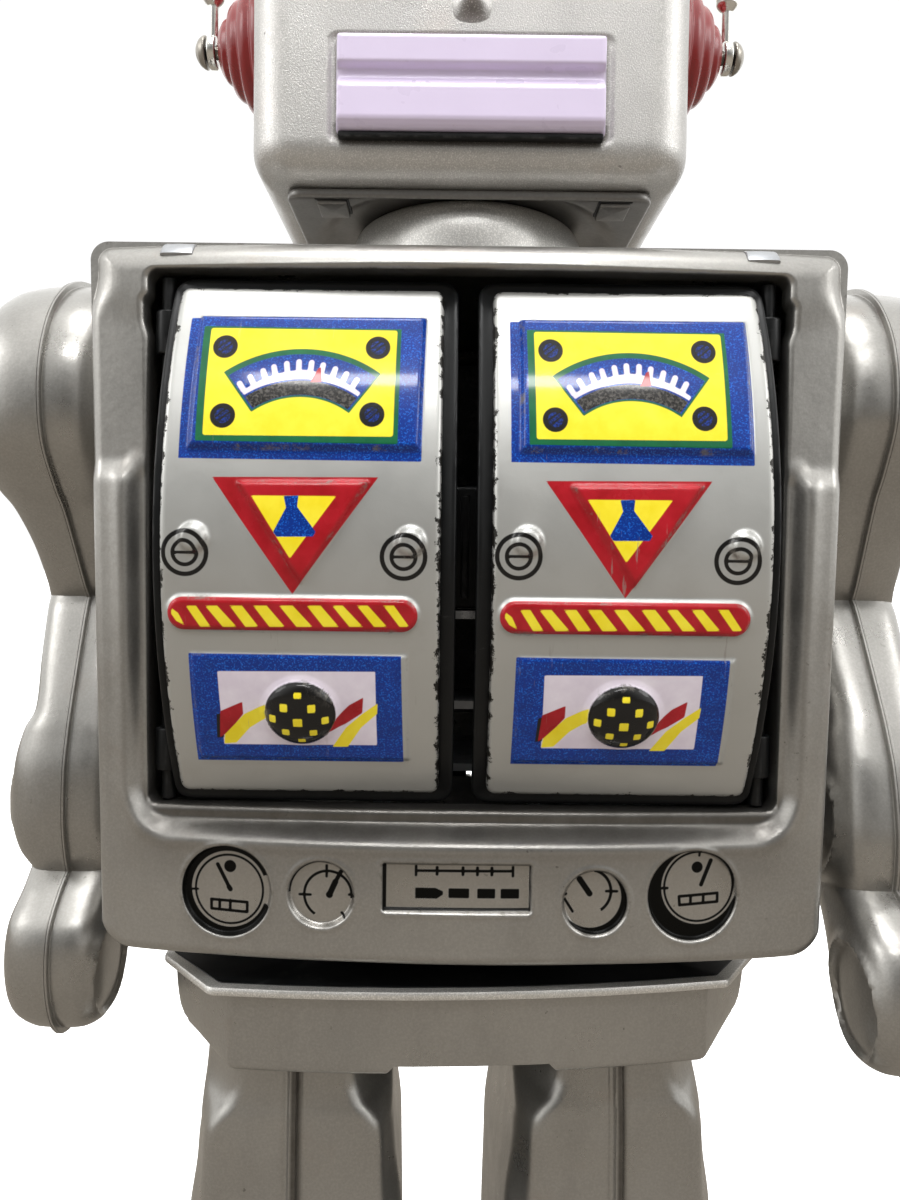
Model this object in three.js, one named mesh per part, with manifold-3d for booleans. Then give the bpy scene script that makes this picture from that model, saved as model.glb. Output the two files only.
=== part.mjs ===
// Walking tin toy robot: turning torso with two bowed chest doors that cover a
// pair of guns, swinging lobed arms, stepping legs on rollers and a boxy head.
// Millimetres. +Z up, the face looks along -Y, the floor is z = 0 and the
// torso turns about the Z axis. "Left" is -X, as seen from the front.
import * as THREE from 'three';
import { mergeVertices } from 'three/addons/utils/BufferGeometryUtils.js';
import Module from 'manifold-3d';

// ---------------------------------------------------- dimensions shared by sections
const WALL = 1.2;                 // stamped wall, thicker than real tinplate
const GAP = 0.25;                 // gap between pieces that rest on each other
const CHEST_HALF_X = 51.6, CHEST_Z0 = 109, CHEST_Z1 = 206.9;
const CHEST_FRONT_Y = -30, CHEST_SPLIT_Y = -28.9, CHEST_BACK_Y = 30;
const OPENING_HALF_X = 43.8, OPENING_Z0 = 129.6, OPENING_Z1 = 202.9;   // behind the doors
const SHOULDER_Z = 190, AXLE_R = 3;
const HIP_TURN = 3.5;             // degrees the hips stand turned under the chest
const PIVOT_Z = 97, PIVOT_R = 1.5;
const WAIST_R = 6, WAIST_SIDES = 28;
const SIDES = [['left', -1], ['right', 1]];   // name, sign of x

// ------------------------------------------------------------------- solids
const wasm = await Module();
wasm.setup();

function indexedGeometry(positions, indices) {
  const geometry = new THREE.BufferGeometry();
  geometry.setAttribute('position', new THREE.BufferAttribute(new Float32Array(positions), 3));
  geometry.setIndex(indices);
  geometry.computeVertexNormals();
  return geometry;
}

function solid(geometry) {
  const bare = geometry.clone();
  bare.deleteAttribute('normal');
  bare.deleteAttribute('uv');
  const merged = mergeVertices(bare, 1e-4);
  return new wasm.Manifold(new wasm.Mesh({
    numProp: 3,
    vertProperties: merged.attributes.position.array,
    triVerts: new Uint32Array(merged.index.array),
  }));
}

function geometryOf(manifold) {
  const mesh = manifold.getMesh();
  return indexedGeometry(mesh.vertProperties, [...mesh.triVerts]);
}

const cutSolid = (whole, ...tools) => tools.reduce((rest, tool) => rest.subtract(solid(tool)), whole);
const joinSolid = (first, ...others) => others.reduce((sum, it) => sum.add(solid(it)), solid(first));
const cut = (whole, ...tools) => geometryOf(cutSolid(solid(whole), ...tools));
const join = (...parts) => geometryOf(joinSolid(...parts));

// Closed body from points and triangles, turned to face outwards.
function body(points, triangles) {
  const volume = triangles.reduce((sum, corners) => {
    const [p, q, r] = corners.map(i => new THREE.Vector3(...points[i]));
    return sum + p.dot(q.cross(r));
  }, 0);
  const outward = volume > 0 ? triangles : triangles.map(([a, b, c]) => [a, c, b]);
  return indexedGeometry(points.flat(), outward.flat());
}

// Rings of equal length skinned one after another; ends capped, or looped round.
function stack(rings, { loop = false, firstApex = null, lastApex = null } = {}) {
  const count = rings[0].length;
  const points = rings.flat();
  const triangles = [];
  const next = i => (i + 1) % count;
  const bands = loop ? rings.length : rings.length - 1;
  for (let k = 0; k < bands; k++) {
    const a = k * count;
    const b = ((k + 1) % rings.length) * count;
    for (let i = 0; i < count; i++) {
      const j = next(i);
      triangles.push([a + i, a + j, b + j], [a + i, b + j, b + i]);
    }
  }
  if (!loop) {
    const middle = ring => [0, 1, 2].map(k => ring.reduce((sum, p) => sum + p[k] / count, 0));
    const first = points.length;
    const last = first + 1;
    const end = (rings.length - 1) * count;
    points.push(firstApex ?? middle(rings[0]), lastApex ?? middle(rings.at(-1)));
    for (let i = 0; i < count; i++) {
      triangles.push([first, next(i), i], [last, end + i, end + next(i)]);
    }
  }
  return body(points, triangles);
}

// Thin shell, open at the first station and closed at the last.
const hollow = (stations, outerRing, innerRing) =>
  stack([...stations.map(outerRing).reverse(), ...stations.map(innerRing)]);

// Grid of points, one row per x and one column per z.
const grid = (xs, zs, place) => xs.map(x => zs.map(z => place(x, z)));

// Two matching point grids closed round their edges.
function slab(gridA, gridB) {
  const rows = gridA.length;
  const columns = gridA[0].length;
  const offset = rows * columns;
  const triangles = [];
  const id = (i, j) => i * columns + j;
  for (let i = 0; i < rows - 1; i++) {
    for (let j = 0; j < columns - 1; j++) {
      const [a, b, c, d] = [id(i, j), id(i + 1, j), id(i + 1, j + 1), id(i, j + 1)];
      triangles.push([a, b, c], [a, c, d]);
      triangles.push([offset + a, offset + c, offset + b], [offset + a, offset + d, offset + c]);
    }
  }
  const edge = [];
  for (let i = 0; i < rows - 1; i++) edge.push(id(i, 0));
  for (let j = 0; j < columns - 1; j++) edge.push(id(rows - 1, j));
  for (let i = rows - 1; i > 0; i--) edge.push(id(i, columns - 1));
  for (let j = columns - 1; j > 0; j--) edge.push(id(0, j));
  edge.forEach((a, k) => {
    const b = edge[(k + 1) % edge.length];
    triangles.push([a, offset + a, offset + b], [a, offset + b, b]);
  });
  return body([...gridA.flat(), ...gridB.flat()], triangles);
}

const along = {
  z: ([a, b, c]) => [a, b, c],
  x: ([a, b, c]) => [c, a, b],
  y: ([a, b, c]) => [b, c, a],
};

// Profile of [radius, height along the axis] turned about an axis through `centre`.
// Radius 0 at either end makes an apex; `phase` turns the rings by a part of one side.
function turned(profile, sides, axis = 'z', centre = [0, 0, 0], { loop = false, phase = 0 } = {}) {
  const place = point => along[axis](point).map((value, i) => value + centre[i]);
  const apex = ([radius, height]) => (radius === 0 ? place([0, 0, height]) : null);
  const ring = ([radius, height]) => Array.from({ length: sides }, (_, i) => {
    const angle = (i + phase) / sides * 2 * Math.PI;
    return place([radius * Math.cos(angle), radius * Math.sin(angle), height]);
  });
  const rings = profile.filter(([radius]) => radius > 0).map(ring);
  return stack(rings, { loop, firstApex: apex(profile[0]), lastApex: apex(profile.at(-1)) });
}

const rod = (radius, from, to, sides, axis, centre) =>
  turned([[radius, from], [radius, to]], sides, axis, centre);
const pipe = (inner, outer, from, to, sides, axis, centre) =>
  turned([[outer, from], [outer, to], [inner, to], [inner, from]], sides, axis, centre, { loop: true });
const flip = (profile, sign) => profile.map(([radius, height]) => [radius, height * sign]);

function box(x0, x1, y0, y1, z0, z1) {
  const geometry = new THREE.BoxGeometry(Math.abs(x1 - x0), Math.abs(y1 - y0), Math.abs(z1 - z0));
  return geometry.translate((x0 + x1) / 2, (y0 + y1) / 2, (z0 + z1) / 2);
}

// Box centred on x = 0, hollowed from cutY0 to cutY1 with a wall round x and z.
const boxShell = (halfX, y0, y1, z0, z1, cutY0, cutY1) => cut(
  box(-halfX, halfX, y0, y1, z0, z1),
  box(WALL - halfX, halfX - WALL, cutY0, cutY1, z0 + WALL, z1 - WALL));

// Rounded rectangle of [u, v], from `low` to `high` in v.
function roundedRect(halfWidth, low, high, highRadius, lowRadius) {
  const steps = 3;   // per corner
  const corners = [   // side, v of the arc centre, radius, first angle
    [1, high - highRadius, highRadius, 0], [-1, high - highRadius, highRadius, 90],
    [-1, low + lowRadius, lowRadius, 180], [1, low + lowRadius, lowRadius, 270]];
  return corners.flatMap(([side, v, radius, start]) => Array.from({ length: steps + 1 }, (_, i) => {
    const angle = (start + 90 * i / steps) * Math.PI / 180;
    return [side * (halfWidth - radius) + radius * Math.cos(angle), v + radius * Math.sin(angle)];
  }));
}
const ringZ = (halfX, halfY, radius, z, centreX = 0) =>
  roundedRect(halfX, -halfY, halfY, radius, radius).map(([u, v]) => [u + centreX, v, z]);
const ringY = (halfX, z0, z1, highRadius, lowRadius, y) =>
  roundedRect(halfX, z0, z1, highRadius, lowRadius).map(([u, v]) => [u, y, v]);

const clamp = (value, low, high) => Math.min(high, Math.max(low, value));
function smooth(from, to, value) {
  const k = clamp((value - from) / (to - from), 0, 1);
  return k * k * (3 - 2 * k);
}

// ------------------------------------------------------------ group and materials
const robot = new THREE.Group();
robot.name = 'toy_robot';

const MATERIALS = {
  silver_paint: { color: 0x8f8c88, roughness: 0.45, metalness: 0.6 },
  bright_paint: { color: 0xc5c5c3, roughness: 0.3, metalness: 0.6 },
  head_paint: { color: 0x96938f, roughness: 0.55, metalness: 0.5 },
  black_plastic: { color: 0x17181a, roughness: 0.4, metalness: 0 },
  red_plastic: { color: 0xb03a3a, roughness: 0.3, metalness: 0 },
  pale_plastic: { color: 0xece2f5, roughness: 0.2, metalness: 0 },
  amber_lens: { color: 0xe8a030, roughness: 0.15, metalness: 0 },
  nickel: { color: 0xcfcfcb, roughness: 0.2, metalness: 1 },
  steel: { color: 0x9a9c9f, roughness: 0.35, metalness: 1 },
  zinc: { color: 0xa7aaad, roughness: 0.4, metalness: 0.9 },
  cell_wrap: { color: 0x9b2f24, roughness: 0.4, metalness: 0.1 },
  rubber: { color: 0x202122, roughness: 0.8, metalness: 0 },
};

function add(name, geometry, material) {
  const settings = { ...MATERIALS[material], name: material };
  const mesh = new THREE.Mesh(geometry, new THREE.MeshStandardMaterial(settings));
  mesh.name = name;
  robot.add(mesh);
}
// Pieces below the waist stand turned with the hips.
const addLower = (name, geometry, material) =>
  add(name, geometry.rotateZ(HIP_TURN * Math.PI / 180), material);

// ---------------------------------------------------------------------- hips
const HIP_Z0 = 91.5, HIP_Z1 = 103;
const WAIST_HOLE_R = WAIST_R + 0.3;
const waistHole = rod(WAIST_HOLE_R, 95, 115, WAIST_SIDES);   // through hips and chest floor

// Plan with bowed front and back edges, cut corners and straight sides.
function hipPlan({ edgeHalfX, edgeY, bow, halfX, sideHalfY, edgeZ, sideZ }) {
  const edge = [-1, -0.6667, -0.3333, 0, 0.3333, 0.6667, 1]
    .map(u => [edgeHalfX * u, -(edgeY + bow * (1 - u * u)), edgeZ]);
  return [
    ...edge, [halfX, -sideHalfY, sideZ], [halfX, sideHalfY, sideZ],
    ...edge.map(([x, y, z]) => [-x, -y, z]), [-halfX, sideHalfY, sideZ], [-halfX, -sideHalfY, sideZ]];
}

function hipBlock() {
  const edgeY = 28.8, bow = 2.4;
  const ceiling = HIP_Z1 - WALL;
  const levels = [   // half width, z at front and back edges, z at sides
    [42.9, HIP_Z0, 92.6], [43.8, 95, 95.6], [44.3, 99, 99.2], [44.4, HIP_Z1, HIP_Z1]];
  const outer = ([halfX, edgeZ, sideZ]) =>
    hipPlan({ edgeHalfX: 34.2, edgeY, bow, halfX, sideHalfY: 17, edgeZ, sideZ });
  const inner = ([halfX, edgeZ, sideZ]) => hipPlan({
    edgeHalfX: 33.5, edgeY: edgeY - WALL, bow, halfX: halfX - WALL, sideHalfY: 16.4,
    edgeZ: Math.min(edgeZ, ceiling), sideZ: Math.min(sideZ, ceiling),
  });
  const lowerNotches = box(-11.5, 11.5, -40, 40, 90, 92.9);
  return cut(hollow(levels, outer, inner), waistHole, lowerNotches);
}

const hipRim = () => cut(stack([HIP_Z1 + 0.15, HIP_Z1 + 1.3].map(z => hipPlan({
  edgeHalfX: 36.9, edgeY: 30.4, bow: 2.6, halfX: 45.6, sideHalfY: 19.3, edgeZ: z, sideZ: z,
}))), waistHole);

addLower('hip_block', hipBlock(), 'silver_paint');
addLower('hip_rim', hipRim(), 'bright_paint');
addLower('waist_bearing',
  pipe(WAIST_HOLE_R, 19, HIP_Z1 + 1.5, CHEST_Z0 - 1.4, WAIST_SIDES), 'black_plastic');
addLower('leg_shaft', rod(PIVOT_R, -38, 38, 16, 'x', [0, 0, PIVOT_Z]), 'steel');

// --------------------------------------------------------------------- chest
const TOP_R = 2.2, BOTTOM_R = 4.5;
const TAPER = 0.0186, TAPER_Z = 157.5;   // a little wider at the shoulders
const STEP_HALF_X = 46, STEP_Z = 126.5, STEP_R = 6, STEP_TOP = 176;   // edge of the front recess
const switchSlot = box(-6, 6, 20, 40, 119.9, 124.7);

function taper(geometry) {
  const position = geometry.attributes.position;
  for (let i = 0; i < position.count; i++) {
    const x = position.getX(i);
    const weight = clamp((Math.abs(x) - 44) / 4, 0, 1);
    position.setX(i, x + Math.sign(x) * weight * (position.getZ(i) - TAPER_Z) * TAPER);
  }
  geometry.computeVertexNormals();
  return geometry;
}

// The front stands proud beside and below the recess, up to STEP_TOP.
function chestFrontY(x, z) {
  const bow = 1 - (x / CHEST_HALF_X) ** 2;
  const recessed = CHEST_FRONT_Y - 2.4 * bow;
  const proud = CHEST_FRONT_Y - 0.8 - 5.2 * bow;
  const dx = Math.abs(x) - (STEP_HALF_X - STEP_R);
  const dz = STEP_Z + STEP_R - z;
  const outside = Math.hypot(Math.max(dx, 0), Math.max(dz, 0)) + Math.min(Math.max(dx, dz), 0) - STEP_R;
  const k = smooth(-0.8, 0.8, outside) * (1 - smooth(STEP_TOP - 2, STEP_TOP + 2, z));
  return recessed + (proud - recessed) * k;
}

function chestFront() {
  const zs = [CHEST_Z0, 111, 116, 122, 125.6, 127.4, 131, 140, 172, 175, 178, 200, CHEST_Z1];
  const xs = [-CHEST_HALF_X, -46.9, -45.1, -40, -30, -18, -6, 6, 18, 30, 40, 45.1, 46.9, CHEST_HALF_X];
  const scale = (CHEST_HALF_X - WALL) / CHEST_HALF_X;
  const innerZ = z => clamp(z, CHEST_Z0 + WALL, CHEST_Z1 - WALL);
  const block = slab(
    grid(xs, zs, (x, z) => [x, chestFrontY(x, z), z]),
    grid(xs, zs, (x, z) => [x, CHEST_SPLIT_Y, z]));
  const cavity = slab(
    grid(xs, zs, (x, z) => [x * scale, chestFrontY(x, z) + WALL, innerZ(z)]),
    grid(xs, zs, (x, z) => [x * scale, -20, innerZ(z)]));
  const outline = stack([-50, -25].map(y =>
    ringY(CHEST_HALF_X, CHEST_Z0, CHEST_Z1, TOP_R, BOTTOM_R, y)));
  const opening = box(-OPENING_HALF_X, OPENING_HALF_X, -60, -20, OPENING_Z0, OPENING_Z1);
  return taper(geometryOf(cutSolid(solid(block).intersect(solid(outline)), cavity, opening)));
}

function chestCasing() {
  const stations = [   // inset, y
    [0, CHEST_SPLIT_Y + GAP], [0, 21], [1.2, 26], [4, 29], [7.5, CHEST_BACK_Y]];
  const ring = ([inset, y], wall) => ringY(
    CHEST_HALF_X - inset - wall, CHEST_Z0 + inset + wall, CHEST_Z1 - inset - wall,
    Math.max(1, TOP_R + inset * 0.4 - wall), BOTTOM_R + inset * 0.2 - wall, y > 0 ? y - wall : y);
  const axleHoles = rod(AXLE_R + 0.15, -60, 60, 16, 'x', [0, 0, SHOULDER_Z]);
  const batteryOpening = box(-30, 30, 20, 40, 135.2, 200);
  const neckHole = rod(9, 200, 210, 20);
  return taper(cut(hollow(stations, station => ring(station, 0), station => ring(station, WALL)),
    waistHole, axleHoles, batteryOpening, switchSlot, neckHole));
}

const FLANGE_Z = CHEST_Z0 + WALL + 0.2;   // waist shaft flange, above the chest floor
add('chest_front', chestFront(), 'silver_paint');
add('chest_casing', chestCasing(), 'silver_paint');
add('waist_shaft', turned([[0, 99.2], [WAIST_R, 99.2], [WAIST_R, FLANGE_Z],
  [10, FLANGE_Z], [10, 112], [0, 112]], WAIST_SIDES), 'steel');

// --------------------------------------------------------------------- doors
const DOOR_X0 = 3.3, DOOR_X1 = 39.2, DOOR_Z0 = 131.3, DOOR_Z1 = 201;
const DOOR_Y = -30.8, DOOR_BULGE = 10;
const LINER_X0 = 1.3, LINER_X1 = 40.3, LINER_Z0 = 130, LINER_Z1 = 202.3;
const HINGE_X = 41.6, HINGE_Y = -28.5, HINGE_R = 1, KNUCKLE_LENGTH = 6;

const DOOR_MID_Z = (DOOR_Z0 + DOOR_Z1) / 2, DOOR_HALF_Z = (DOOR_Z1 - DOOR_Z0) / 2;
const doorY = z => DOOR_Y - DOOR_BULGE * (1 - ((z - DOOR_MID_Z) / DOOR_HALF_Z) ** 2);

// Panel that follows the door; front and back are y offsets from its outer face.
function doorPanel(sign, [x0, x1, z0, z1], front, back, steps) {
  const xs = [x0 * sign, x1 * sign];
  const zs = Array.from({ length: steps + 1 }, (_, i) => z0 + (z1 - z0) * i / steps);
  const face = offset => grid(xs, zs, (x, z) => [x, doorY(z) + offset, z]);
  return slab(face(front), face(back));
}

function doorCover(sign) {
  const raised = [   // x0, x1, z0, z1, front offset, steps
    [5.8, 38.1, 177.3, 196.6, -0.8, 5], [5.6, 38.5, 155.1, 159.2, -0.9, 2],
    [7.8, 36.2, 137.1, 152, -0.6, 4]];
  const triangle = stack([-0.7, 0.5].map(offset => [[9.5, 174.4], [34.6, 174.4], [22.2, 160.1]]
    .map(([x, z]) => [x * sign, doorY(z) + offset, z])));
  const domeZ = 144.2;
  const dome = turned([[4.6, 0.5], [4.6, -0.9], [3.4, -2], [0, -2.5]], 16, 'y')
    .rotateX(19.9 * Math.PI / 180)
    .translate(21.5 * sign, doorY(domeZ), domeZ);
  return join(doorPanel(sign, [DOOR_X0, DOOR_X1, DOOR_Z0, DOOR_Z1], 0, 1, 12),
    ...raised.map(([x0, x1, z0, z1, front, steps]) =>
      doorPanel(sign, [x0, x1, z0, z1], front, 0.5, steps)),
    triangle, dome);
}

function doorLiner(sign) {
  const hinge = [HINGE_X * sign, HINGE_Y, 0];
  const knuckle = z => {
    const top = z + KNUCKLE_LENGTH;
    const linerY = Math.max(doorY(z), doorY(top)) + 1.7;
    return [rod(1.75, z, top, 20, 'z', hinge),
      box(37.6 * sign, 41.4 * sign, HINGE_Y - 0.9, linerY, z, top)];
  };
  const panel = doorPanel(sign, [LINER_X0, LINER_X1, LINER_Z0, LINER_Z1], 1.2, 2.9, 12);
  return cut(join(panel, ...knuckle(134), ...knuckle(192)),
    rod(HINGE_R + 0.1, 120, 210, 20, 'z', hinge));
}

for (const [side, sign] of SIDES) {
  add('door_cover_' + side, doorCover(sign), 'bright_paint');
  add('door_liner_' + side, doorLiner(sign), 'black_plastic');
  add('hinge_rod_' + side, rod(HINGE_R, OPENING_Z0 + 0.2, OPENING_Z1 - 0.2, 20, 'z',
    [HINGE_X * sign, HINGE_Y, 0]), 'black_plastic');
}

// ---------------------------------------------------------------------- guns
const GUN_X = 20, GUN_Z = 166;
const BARREL = [   // radius, y
  [0, -25.8], [5.2, -25.8], [5.2, -28], [4, -28.4], [4, -32.6], [4.6, -33], [4.6, -34.5],
  [3, -34.5], [2.8, -29], [0, -29]];
const gunPlate = sign =>
  box((GUN_X - 10) * sign, (GUN_X + 10) * sign, -25.5, -23, GUN_Z - 12, GUN_Z + 12);

add('gun_block', join(box(-30, 30, -24, -12, GUN_Z - 9, GUN_Z + 9), gunPlate(-1), gunPlate(1)),
  'black_plastic');
for (const [side, sign] of SIDES) {
  add('gun_barrel_' + side, turned(BARREL, 14, 'y', [GUN_X * sign, 0, GUN_Z]), 'nickel');
}
add('gun_guide', boxShell(9.6, -22, -8.4, 142, 156.6, -30, -4), 'steel');

// --------------------------------------------------- drive and battery pieces
const CELL_R = 13.1, CELL_HALF_X = 24.6, CELL_Y = 11.5;   // standard C size
const CELLS = [['lower', 153.6, 1], ['upper', 181.4, -1]];   // name, z, end with the nub
const MOTOR = [   // radius, x
  [0, 14.6], [1.2, 14.6], [1.2, 16.4], [9, 16.4], [9, 40], [7.4, 41.4], [2.6, 41.4],
  [2.6, 43], [0, 43]];
const CELL = [   // radius, x
  [0, -CELL_HALF_X], [12.3, -CELL_HALF_X], [CELL_R, -CELL_HALF_X + 1], [CELL_R, CELL_HALF_X - 2],
  [12.2, CELL_HALF_X - 1], [3.4, CELL_HALF_X - 1], [3.2, CELL_HALF_X + 0.8], [0, CELL_HALF_X + 0.8]];

function batteryDoor() {
  const halfX = 31.5, z0 = 134.6, z1 = 201.6, hingeZ = 133.6;
  const xs = [-halfX, -16, 0, 16, halfX];
  const zs = [z0, 150, 168, 186, z1];
  const bulge = (x, z) => 0.9 * (1 - (x / halfX) ** 2) * Math.sin(Math.PI * (z - z0) / (z1 - z0));
  const panel = slab(
    grid(xs, zs, (x, z) => [x, CHEST_BACK_Y + 1.6 + bulge(x, z), z]),
    grid(xs, zs, (x, z) => [x, CHEST_BACK_Y + 0.3, z]));
  return join(panel, rod(1.2, -12, 12, 16, 'x', [0, CHEST_BACK_Y + 1.6, hingeZ]),
    box(-12, 12, CHEST_BACK_Y + 0.45, CHEST_BACK_Y + 1.5, hingeZ, 135.2));
}

add('gearbox_frame', boxShell(14, -12, 12, 113, 131.6, -20, 20), 'zinc');
add('motor', turned(MOTOR, 16, 'x', [0, 0, 122.3]), 'steel');
add('battery_tray', boxShell(27.6, -3.2, 25.2, 138.4, 196.6, -3.2 + WALL, 40), 'black_plastic');
for (const [name, z, sign] of CELLS) {
  add('battery_cell_' + name, turned(flip(CELL, sign), 20, 'x', [0, CELL_Y, z]), 'cell_wrap');
}
add('battery_door', batteryDoor(), 'silver_paint');
add('battery_latch', box(-6, 6, CHEST_BACK_Y + 2, CHEST_BACK_Y + 4.4, 197, 200.6), 'nickel');
add('switch_plate',
  cut(box(-11, 11, CHEST_BACK_Y + 0.2, CHEST_BACK_Y + 1.2, 117.4, 127.2), switchSlot), 'nickel');
add('switch_lever', join(box(-1.6, 1.6, 26, 33.5, 120.6, 124),
  box(-2.6, 2.6, CHEST_BACK_Y + 1.5, 36, 120.3, 124.3)), 'black_plastic');

// ---------------------------------------------------------------------- arms
const SEAM_X = 63;
const ARM_TURN = { left: 0, right: -11 };   // degrees, hanging and swung forward
const OUTER_BULGE = 3, INNER_BULGE = 4;     // columns of ARM_STATIONS
const ARM_STATIONS = [   // z, middle y, half depth, outer bulge, inner bulge
  [208.4, -1, 3, 3, 2.6], [207.6, -1, 6.3, 7, 5.5], [205, -1, 11.6, 10.5, 7.6],
  [200.5, -1, 16.4, 13, 9.2], [194, -1, 19.7, 14, 9.7], [187.5, -1, 20.6, 14, 9.7],
  [181, -1, 19.4, 14, 9.7], [175, -0.8, 15.3, 12.5, 9.4], [171.6, -0.2, 12.7, 10.6, 8.8],
  [166, 1.2, 10.2, 8.8, 8], [160, 2.8, 7.8, 7.6, 7.2], [157.3, 3.5, 6.3, 8.1, 6.8],
  [155, 2.7, 6.9, 8.1, 6.8], [147, 0.8, 8.4, 7.9, 6.8], [139, -0.6, 10.2, 7.7, 7],
  [135.5, -0.6, 11.4, 9.4, 7.8], [130, -1, 12.4, 10.6, 8.2], [122, -1.2, 12.6, 11, 8.3],
  [116.5, -1.6, 11.3, 10, 7.8], [113.2, -2.6, 9.2, 7.8, 6.8], [110.5, -6, 9.4, 7.6, 6.9],
  [106, -9.3, 9.9, 8.4, 7.2], [99, -10.8, 9.2, 8.6, 7.2], [93, -11.1, 7.3, 7.9, 6.6],
  [89.6, -11, 4.6, 5.6, 5], [88.6, -11, 2.2, 3, 2.6]];

// direction is +1 for the half away from the body, -1 for the half towards it
function armHalf(sign, bulgeColumn, direction) {
  const steps = 7, squareness = 0.6;
  const top = ARM_STATIONS[0][0], bottom = ARM_STATIONS.at(-1)[0];
  const row = (station, inset) => Array.from({ length: steps + 1 }, (_, j) => {
    const [height, middle, halfDepth] = station;
    const angle = Math.PI * j / steps;
    const cosine = Math.cos(angle);
    const across = Math.max(0, Math.sin(angle)) ** squareness;
    const forward = Math.sign(cosine) * Math.abs(cosine) ** squareness;
    return [
      sign * (SEAM_X + direction * (0.15 + (station[bulgeColumn] - inset) * across)),
      middle - (halfDepth - inset) * forward,
      clamp(height, bottom + inset, top - inset)];
  });
  return slab(ARM_STATIONS.map(s => row(s, 0)), ARM_STATIONS.map(s => row(s, WALL)));
}

const swing = (geometry, degrees) => geometry.translate(0, 0, -SHOULDER_Z)
  .rotateX(degrees * Math.PI / 180).translate(0, 0, SHOULDER_Z);

const AXLE = [   // radius, x
  [0, 44.5], [5, 44.5], [5, 46], [AXLE_R, 46], [AXLE_R, 60.5], [0, 60.5]];

for (const [side, sign] of SIDES) {
  const centre = [0, 0, SHOULDER_Z];
  const bore = rod(AXLE_R + 0.15, sign * 45, sign * 61.5, 16, 'x', centre);
  const inner = cut(armHalf(sign, INNER_BULGE, -1), bore);
  add('arm_outer_' + side, swing(armHalf(sign, OUTER_BULGE, 1), ARM_TURN[side]), 'silver_paint');
  add('arm_inner_' + side, swing(inner, ARM_TURN[side]), 'silver_paint');
  add('shoulder_axle_' + side, turned(flip(AXLE, sign), 16, 'x', centre), 'steel');
}

// ------------------------------------------------------------- neck and head
const NECK_R = 19.8;
const HEAD_HALF_X = 32, HEAD_HALF_Y = 25, HEAD_Z0 = 218.5, HEAD_Z1 = 280;
const FACE_Y = -HEAD_HALF_Y - 0.2;   // back of the pieces set on the face
const MOUTH_HALF_X = 19.1, MOUTH_Z0 = 224.1, MOUTH_Z1 = 237.4;
const EYE_X = 14, EYE_Z = 259;
const EAR_X = HEAD_HALF_X + GAP, EAR_Z = 249, EAR_R = 11.4, EAR_DEPTH = 9.7;

const COLLAR = [   // radius, z
  [NECK_R, CHEST_Z1 + 0.2], [NECK_R, 213], [NECK_R - 0.4, 215.3], [NECK_R - 1.5, 216.5],
  [NECK_R - 3, 216.8], [13, 216.8], [13, 215.6], [NECK_R - 3.3, 215.6], [NECK_R - 2.2, 215],
  [NECK_R - 1.4, 213.6], [NECK_R - 1.2, 212], [NECK_R - 1.2, CHEST_Z1 + 0.2]];
const HEAD_STATIONS = [   // inset, z
  [4.6, HEAD_Z0], [1.4, HEAD_Z0 + 1.2], [0, HEAD_Z0 + 4.8],
  [0, HEAD_Z1 - 5.2], [1.5, HEAD_Z1 - 1.6], [5.4, HEAD_Z1]];
const BEZEL = [   // radius, y
  [6.6, FACE_Y], [9.4, FACE_Y], [9.2, FACE_Y - 1.2], [8.2, FACE_Y - 2.2], [6.8, FACE_Y - 1.8]];
const LENS = [   // radius, y
  [0, FACE_Y], [6.3, FACE_Y], [6.2, FACE_Y - 1.6], [5, FACE_Y - 3.2],
  [2.8, FACE_Y - 4.3], [0, FACE_Y - 4.7]];
const EAR = [   // radius, distance out from EAR_X
  [0, 0], [EAR_R, 0], [EAR_R, 1.5], [10.8, 2.5], [9.9, 2.8], [9.7, 3.9], [8.8, 5], [7.7, 5.3],
  [7.4, 6.4], [6.4, 7.3], [5.1, 7.5], [4.7, 8.5], [3.2, 9.4], [0, EAR_DEPTH]];
const RIVET = [   // radius, distance out from the ear tip
  [0, 0.1], [1, 0.1], [1, 2.2], [2.9, 2.2], [2.6, 3.2], [1.5, 4], [0, 4.2]];
const ANTENNA = [   // radius, z
  [0, 251.2], [0.75, 251.2], [0.75, 257], [1.7, 257.4], [1.7, 260], [0.9, 260.6],
  [0.8, 295.4], [1.7, 296.1], [2.1, 297.8], [1.7, 299.4], [0, 300.2]];

const headShell = () => hollow(HEAD_STATIONS,
  ([inset, z]) => ringZ(HEAD_HALF_X - inset, HEAD_HALF_Y - inset, 6.2 - inset * 0.5, z),
  ([inset, z]) => ringZ(HEAD_HALF_X - inset - WALL, HEAD_HALF_Y - inset - WALL,
    5.2 - inset * 0.4, z > 250 ? z - WALL : z));

function mouth() {
  const ring = (inset, radius, y) => ringY(
    MOUTH_HALF_X - inset, MOUTH_Z0 + inset, MOUTH_Z1 - inset, radius, radius, y);
  const groove = box(-15.5, 15.5, FACE_Y - 3.8, FACE_Y - 1.7, 232.6, 233.6);
  return cut(stack([
    ring(0, 1.6, FACE_Y), ring(0, 1.6, FACE_Y - 1.4), ring(0.9, 1, FACE_Y - 2.3)]), groove);
}

function nose() {
  const ring = (lowHalfX, lowY, lowZ, highHalfX, highY, highZ) => [
    [-lowHalfX, lowY, lowZ], [lowHalfX, lowY, lowZ],
    [highHalfX, highY, highZ], [-highHalfX, highY, highZ]];
  return stack([ring(3.1, FACE_Y, 240.6, 2.2, FACE_Y, 253),
    ring(1.9, FACE_Y - 4, 242.2, 0.9, FACE_Y - 1.4, 252)]);
}

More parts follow.
